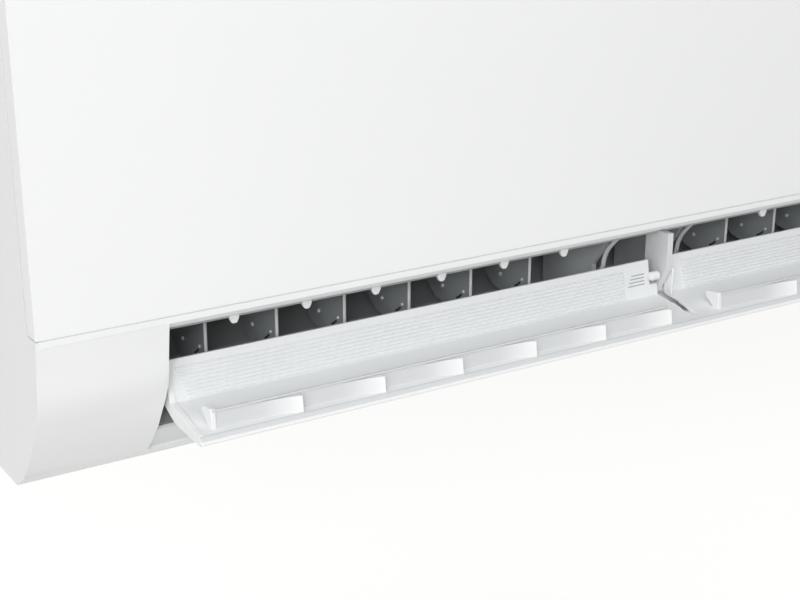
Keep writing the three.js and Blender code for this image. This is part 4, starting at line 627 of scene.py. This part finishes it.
# ---- outlet: arm, vanes, guide rims ------------------------------------------------------------
def air_vane(x, name):
    """Upright vane: a thin blade with a pale rounded front edge, which is painted highlight, its
    pins and its peg for the rod, and on its left face a round stud and a thin black strip that
    paints the shade of a short slot."""
    left, right = x - VANE_HALF, x + VANE_HALF
    back = [(64, VANE_TOP), (90, -36), (89.5, -44), (80, -51), (68, VANE_BOTTOM)]
    start = VANE_FRONT + 0.6
    bm = bmesh.new()
    bar(bm, [(start, VANE_TOP), *smooth_line(back, 1), (start, VANE_BOTTOM)], left, right)
    for radius, depth, low, high in ((1.5, VANE_PIVOT, -60.7, -49), (1.5, VANE_PIVOT, -16, -9.4),
                                     (1.1, 51, -57.8, -50)):
        spot = Matrix.Translation(place(x, depth, (low + high) / 2))
        bmesh.ops.create_cone(bm, cap_ends=True, segments=16, radius1=radius * MM,
                              radius2=radius * MM, depth=(high - low) * MM, matrix=spot)
    settle(bm, f"{name}_blade", name, VANE_PP, [name], 0.2, 2)
    bm = bmesh.new()
    bead = [(x + math.cos(turn), VANE_FRONT + 0.9 - 0.85 * math.sin(turn))
            for turn in (0, 0.6, 1.2, 1.9, 2.5, math.pi)]
    ring = [bm.verts.new(place(across, depth, VANE_BOTTOM)) for across, depth in bead]
    sweep(bm, ring, (0, 0, VANE_TOP - VANE_BOTTOM))
    rod(bm, 1.1, left - 0.9, left + 0.2, (71, -42), 12)
    rod(bm, 0.8, left - 0.8, left + 0.2, (48.6, -39), 10)
    # The bead along the front edge is painted highlight; the stud and peg share its paler finish.
    settle(bm, f"{name}_edge", name, VANE_EDGE_HIGHLIGHT, (), 0.15, 2)
    bm = bmesh.new()
    slot = strip([(56.5, -44.8), (54, -43.4), (50.8, -40.8)], 1.2)
    bar(bm, slot, left - 0.15, left + 0.1)
    # A thin black strip on the left face paints the shade of a short slot.
    settle(bm, f"{name}_slot_shade", name, FAN_PLASTIC, (), 0, 2)


def vane_place(side, index):
    """Where a vane stands along X; side is -1 left of the arm and 1 right of it."""
    return OUTLET_MIDDLE + side * (VANE_FIRST + VANE_PITCH * index)


for side, word in ((-1, "left"), (1, "right")):
    for index in range(VANE_COUNT):
        air_vane(vane_place(side, index), f"vane_{word}_{index + 1}")
    eased_copy(f"link_rod_{word}", FAN_PLASTIC, 0.2)
    eased_copy(f"vane_carrier_{word}", FAN_PLASTIC, 0.3)


def guide_rim(x, name):
    """Curved front edge of a fixed guide wall beside the arm."""
    line = smooth_line([(19, -13.2), (22.5, -16.1), (26.3, -19.9), (30.2, -24.8), (32.7, -30.1),
                        (33.8, -35.6), (37, -40), (40.6, -44.5), (42.8, -52), (44, -68)], 3)
    bm = bmesh.new()
    bar(bm, strip(line, 1.6), x - 1.4, x + 1.4)
    settle(bm, name, "cabinet", ARM_ABS, (), 0.5, 2)


guide_rim(OUTLET_MIDDLE - 28.5, "guide_rim_left")
guide_rim(OUTLET_MIDDLE + 28.5, "guide_rim_right")


def ceiling_details():
    """Lower lip of the trim above the outlet, and the rounded tongues beside the vanes."""
    bm = bmesh.new()
    lintel = [(16.6, -11), (16.8, -13.2), (17.6, -13.7), (19, -13.4), (19.4, -11)]
    bar(bm, lintel, OUTLET_LEFT + 0.6, OUTLET_RIGHT - 0.6)
    # The lip's grey tone is painted shade under the trim.
    settle(bm, "outlet_lintel", "cabinet", LINTEL_PAINTED_SHADE, (), 0.3, 2)
    outline = ((-2.8, 1), (-2.7, -1.2), (-1.3, -3.9), (1.3, -3.9), (2.7, -1.2), (2.8, 1))
    bm = bmesh.new()
    for side in (-1, 1):
        for index in range(VANE_COUNT):
            x = vane_place(side, index) + TAB_OFFSET
            ring = [bm.verts.new(place(x + out, 16.4, VANE_TOP + rise)) for out, rise in outline]
            sweep(bm, ring, (0, TAB_LENGTH, 0))
    settle(bm, "ceiling_tongues", "cabinet", CASING_ABS, (), 0.7, 3, 20)


ceiling_details()
eased_copy("centre_arm", ARM_ABS, 0.5, 3)
eased_copy("outlet_duct", DUCT_PS, 0.4)
eased_copy("scroll_case", DUCT_PS, 0.4)
eased_copy("drain_pan", ARM_ABS, 0.3)


# ---- fan ---------------------------------------------------------------------------------------
def fan_blades():
    """Cross-flow rotor: nine bays of thin forward-curved blades between discs."""
    left, right = OUTLET_LEFT + 5, OUTLET_RIGHT - 5
    bm = bmesh.new()
    for index in range(FAN_BAYS + 1):
        x = left + (right - left - FAN_DISC) * index / FAN_BAYS
        rod(bm, FAN_RADIUS, x, x + FAN_DISC, FAN_CENTRE, 48)
    section = strip(smooth_line([(0, 35.5), (1.6, 39.5), (4.4, 44), (8.2, 46.8)], 2), 0.9)
    blade = [(FAN_CENTRE[0] + depth, FAN_CENTRE[1] + rise) for depth, rise in section]
    for index in range(FAN_BLADES):
        bar(bm, blade, left + 1, right - 1, about_x(FAN_CENTRE, 360 * index / FAN_BLADES))
    for start, stop in ((left - 0.2, left + HUB_LENGTH), (right - HUB_LENGTH, right + 0.2)):
        rod(bm, HUB_RADIUS, start, stop, FAN_CENTRE, 24)
    settle(bm, "fan_blades", "fan", FAN_PLASTIC, ["fan_rotor"])


fan_blades()


# ---- heat exchanger ----------------------------------------------------------------------------
def slab_lines(line):
    """A slab's two ends in section, and its directions along and across."""
    start, end = Vector(line[0]), Vector(line[1])
    along = (end - start).normalized()
    return start, end, along, Vector((along.y, -along.x))


def fin_stack(node, line):
    """Thin fins, drawn further apart than on common units so that they show as fins."""
    start, end, _, across = slab_lines(line)
    side = across * COIL_HALF
    outline = [tuple(point) for point in (start - side, start + side, end + side, end - side)]
    bm = bmesh.new()
    bar(bm, outline, FINS_LEFT, FINS_LEFT + FIN_THICKNESS)
    piece = settle(bm, f"{node}_fins", "cabinet", FIN_ALUMINIUM, [node])
    stack = piece.modifiers.new("fins", "ARRAY")
    stack.use_relative_offset = False
    stack.use_constant_offset = True
    stack.constant_offset_displace = (FIN_PITCH * MM, 0, 0)
    stack.count = int((FINS_RIGHT - FINS_LEFT) / FIN_PITCH)


for node, line in COIL_LINES.items():
    fin_stack(node, line)


def coil_tubes():
    """Copper tubes through the fins, two rows along each slab."""
    bm = bmesh.new()
    for line in COIL_LINES.values():
        first, last, along, across = slab_lines(line)
        for index in range(int((last - first).length // TUBE_PITCH)):
            for side in (-1, 1):
                up = TUBE_PITCH * (index + 0.5) + TUBE_STAGGER * side
                spot = first + along * up + across * TUBE_ROW * side
                rod(bm, TUBE_RADIUS, FINS_LEFT - 0.6, FINS_RIGHT + 0.6, tuple(spot), 14)
    settle(bm, "coil_tubes", "cabinet", TUBE_COPPER)


coil_tubes()
eased_copy("coil_plate_left", GALVANISED, 0)
PLATE_FACE = (OUTLET_RIGHT - 4 + 1.1) * MM
eased_copy("coil_plate_right", [GALVANISED, TUBE_COPPER], 0,
           second=lambda spot: spot.x > PLATE_FACE)


# ---- casing, chassis and the rest ------------------------------------------------------------
def painted_shade_on_sill(spot):
    """Whether a place on the front frame is on the sill below the air outlet, which takes painted
    shade from the open flap.
    """
    low, high = place(OUTLET_LEFT + 1, 26, -90), place(OUTLET_RIGHT - 1, 46, -66)
    return all(near < along < far for near, along, far in zip(low, spot, high))


eased_copy("front_panel", PANEL_ABS, 0.5, 3)
# The sill below the outlet takes the light grey finish as painted shade from the open flap.
eased_copy("front_frame", [CASING_ABS, ARM_ABS], 0.35, second=painted_shade_on_sill)
eased_copy("top_grille", CASING_ABS, 0.4)
bm = bmesh.new()
bar(bm, [(0.9, -0.6), (1.9, -0.6), (1.9, 0.6), (0.9, 0.6)], -403, 403)
settle(bm, "seam_backing", "cabinet", ARM_ABS)


def filter_weave(node):
    """A filter's frame with its mesh of crossed strands, drawn coarser than a real one's."""
    low, high = (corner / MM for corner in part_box(node))
    eased_copy(node, FILTER_PP, 0.3)
    bm = bmesh.new()
    left, right = low.x + WEAVE_MARGIN, high.x - WEAVE_MARGIN
    near, far = WEAVE_DEPTH, WEAVE_DEPTH + STRAND
    x = left
    while x < right:
        upright = [(near, WEAVE_LOW), (far, WEAVE_LOW), (far, WEAVE_HIGH), (near, WEAVE_HIGH)]
        bar(bm, upright, x, x + STRAND)
        x += WEAVE_PITCH
    near, far = WEAVE_DEPTH - 0.3, WEAVE_DEPTH + 0.2
    for rise in range(WEAVE_LOW + 1, WEAVE_HIGH, WEAVE_PITCH):
        over = rise + STRAND
        bar(bm, [(near, rise), (far, rise), (far, over), (near, over)], left, right)
    settle(bm, f"{node}_weave", node, FILTER_PP)


for node in ("filter_left", "filter_right"):
    filter_weave(node)

BOARD_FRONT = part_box("circuit_board")[1].y - 1.7 * MM
eased_copy("circuit_board", [BOARD_LAMINATE, CASED_PARTS], 0.3,
           second=lambda spot: spot.y < BOARD_FRONT)
for finish, ease, nodes in (
        (GALVANISED, 0.2, ("mounting_plate", "control_box", "control_lid", "motor_saddle")),
        (CHASSIS_ABS, 0.4, ("rear_chassis", "flap_motor", "terminal_cover", "pipe_clamp")),
        (CASING_ABS, 0.4, ("manual_button",)),
        (PLATED, 0.3, ("fan_motor", "bearing_shaft", "motor_shaft", "casing_screw_1",
                       "casing_screw_2")),
        (NUT_BRASS, 0.2, ("fan_bearing", "gas_flare_nut", "liquid_flare_nut")),
        (TUBE_COPPER, 0, ("gas_pipe", "liquid_pipe")),
        (SEAT_RUBBER, 0.3, ("bearing_rubber",)),
        (CASED_PARTS, 0.3, ("terminal_block",)),
        (LENS_ACRYLIC, 0.3, ("receiver_lens",)),
        (BOARD_LAMINATE, 0.1, ("receiver_board",))):
    for node in nodes:
        eased_copy(node, finish, ease)


# ---- floor, backdrop and lights ------------------------------------------------------------------
FLOOR_HALF = 6                     # in metres
FLOOR_HEIGHT = -0.75               # in metres
FLOOR_GLOW = 0.55                  # strength of the white that the floor shows the camera
WORLD_LIGHT = 0.4                  # strength of the backdrop as a light
WHITE = (1, 1, 1, 1)


def white_to_camera(tree):
    """1 where the camera, a reflection or a see-through surface looks, and 0 elsewhere."""
    rays = add(tree, "ShaderNodeLightPath").outputs
    either = add(tree, "ShaderNodeMath",
                 [(0, rays["Is Camera Ray"]), (1, rays["Is Glossy Ray"])], operation="MAXIMUM")
    return add(tree, "ShaderNodeMath",
               [(0, either.outputs[0]), (1, rays["Is Transmission Ray"])], operation="MAXIMUM")


def floor():
    """Pale floor well below the wall unit."""
    bm = bmesh.new()
    bmesh.ops.create_grid(bm, x_segments=1, y_segments=1, size=FLOOR_HALF)
    bmesh.ops.translate(bm, verts=bm.verts, vec=(0, 0, FLOOR_HEIGHT))
    mesh = bpy.data.meshes.new("floor")
    bm.to_mesh(mesh)
    bm.free()
    ground = bpy.data.objects.new("floor", mesh)
    bpy.context.scene.collection.objects.link(ground)
    material = bpy.data.materials.new("painted floor")
    material.use_nodes = True
    tree = material.node_tree
    shader = tree.nodes["Principled BSDF"]
    shader.inputs["Base Color"].default_value = linear("#E4E4E2")
    shader.inputs["Roughness"].default_value = 0.9
    shader.inputs["Emission Color"].default_value = WHITE
    seen = white_to_camera(tree)
    glow = add(tree, "ShaderNodeMath", [(0, seen.outputs[0])], operation="MULTIPLY")
    glow.inputs[1].default_value = FLOOR_GLOW
    tree.links.new(glow.outputs[0], shader.inputs["Emission Strength"])
    mesh.materials.append(material)


def backdrop():
    """White behind the object, softer as a light."""
    world = bpy.data.worlds.new("studio")
    world.use_nodes = True
    bpy.context.scene.world = world
    tree = world.node_tree
    ground = tree.nodes["Background"]
    ground.inputs["Color"].default_value = WHITE
    seen = white_to_camera(tree)
    level = add(tree, "ShaderNodeMapRange", [("Value", seen.outputs[0])], To_Min=WORLD_LIGHT,
                To_Max=1.0)
    tree.links.new(level.outputs["Result"], ground.inputs["Strength"])


def soft_light(name, spot, aim, size, power):
    """A rectangular lamp at a spot, turned to the place that it aims at; power is in watts."""
    lamp = bpy.data.lights.new(name, "AREA")
    lamp.shape = "RECTANGLE"
    lamp.size, lamp.size_y = size
    lamp.energy = power
    holder = bpy.data.objects.new(name, lamp)
    holder.location = spot
    holder.rotation_euler = (Vector(aim) - Vector(spot)).to_track_quat("-Z", "Y").to_euler()
    bpy.context.scene.collection.objects.link(holder)


floor()
backdrop()
soft_light("left softbox", (-2.2, -2.0, 0.75), (-0.1, -0.12, -0.08), (1.6, 1.2), 26)
soft_light("front softbox", (-1.45, -2.25, 1.0), (-0.1, -0.12, -0.08), (0.8, 0.6), 18)
soft_light("overhead softbox", (-0.3, -1.5, 2.2), (-0.1, -0.15, -0.05), (2.0, 1.2), 13)

bpy.context.scene.view_settings.view_transform = "Standard"
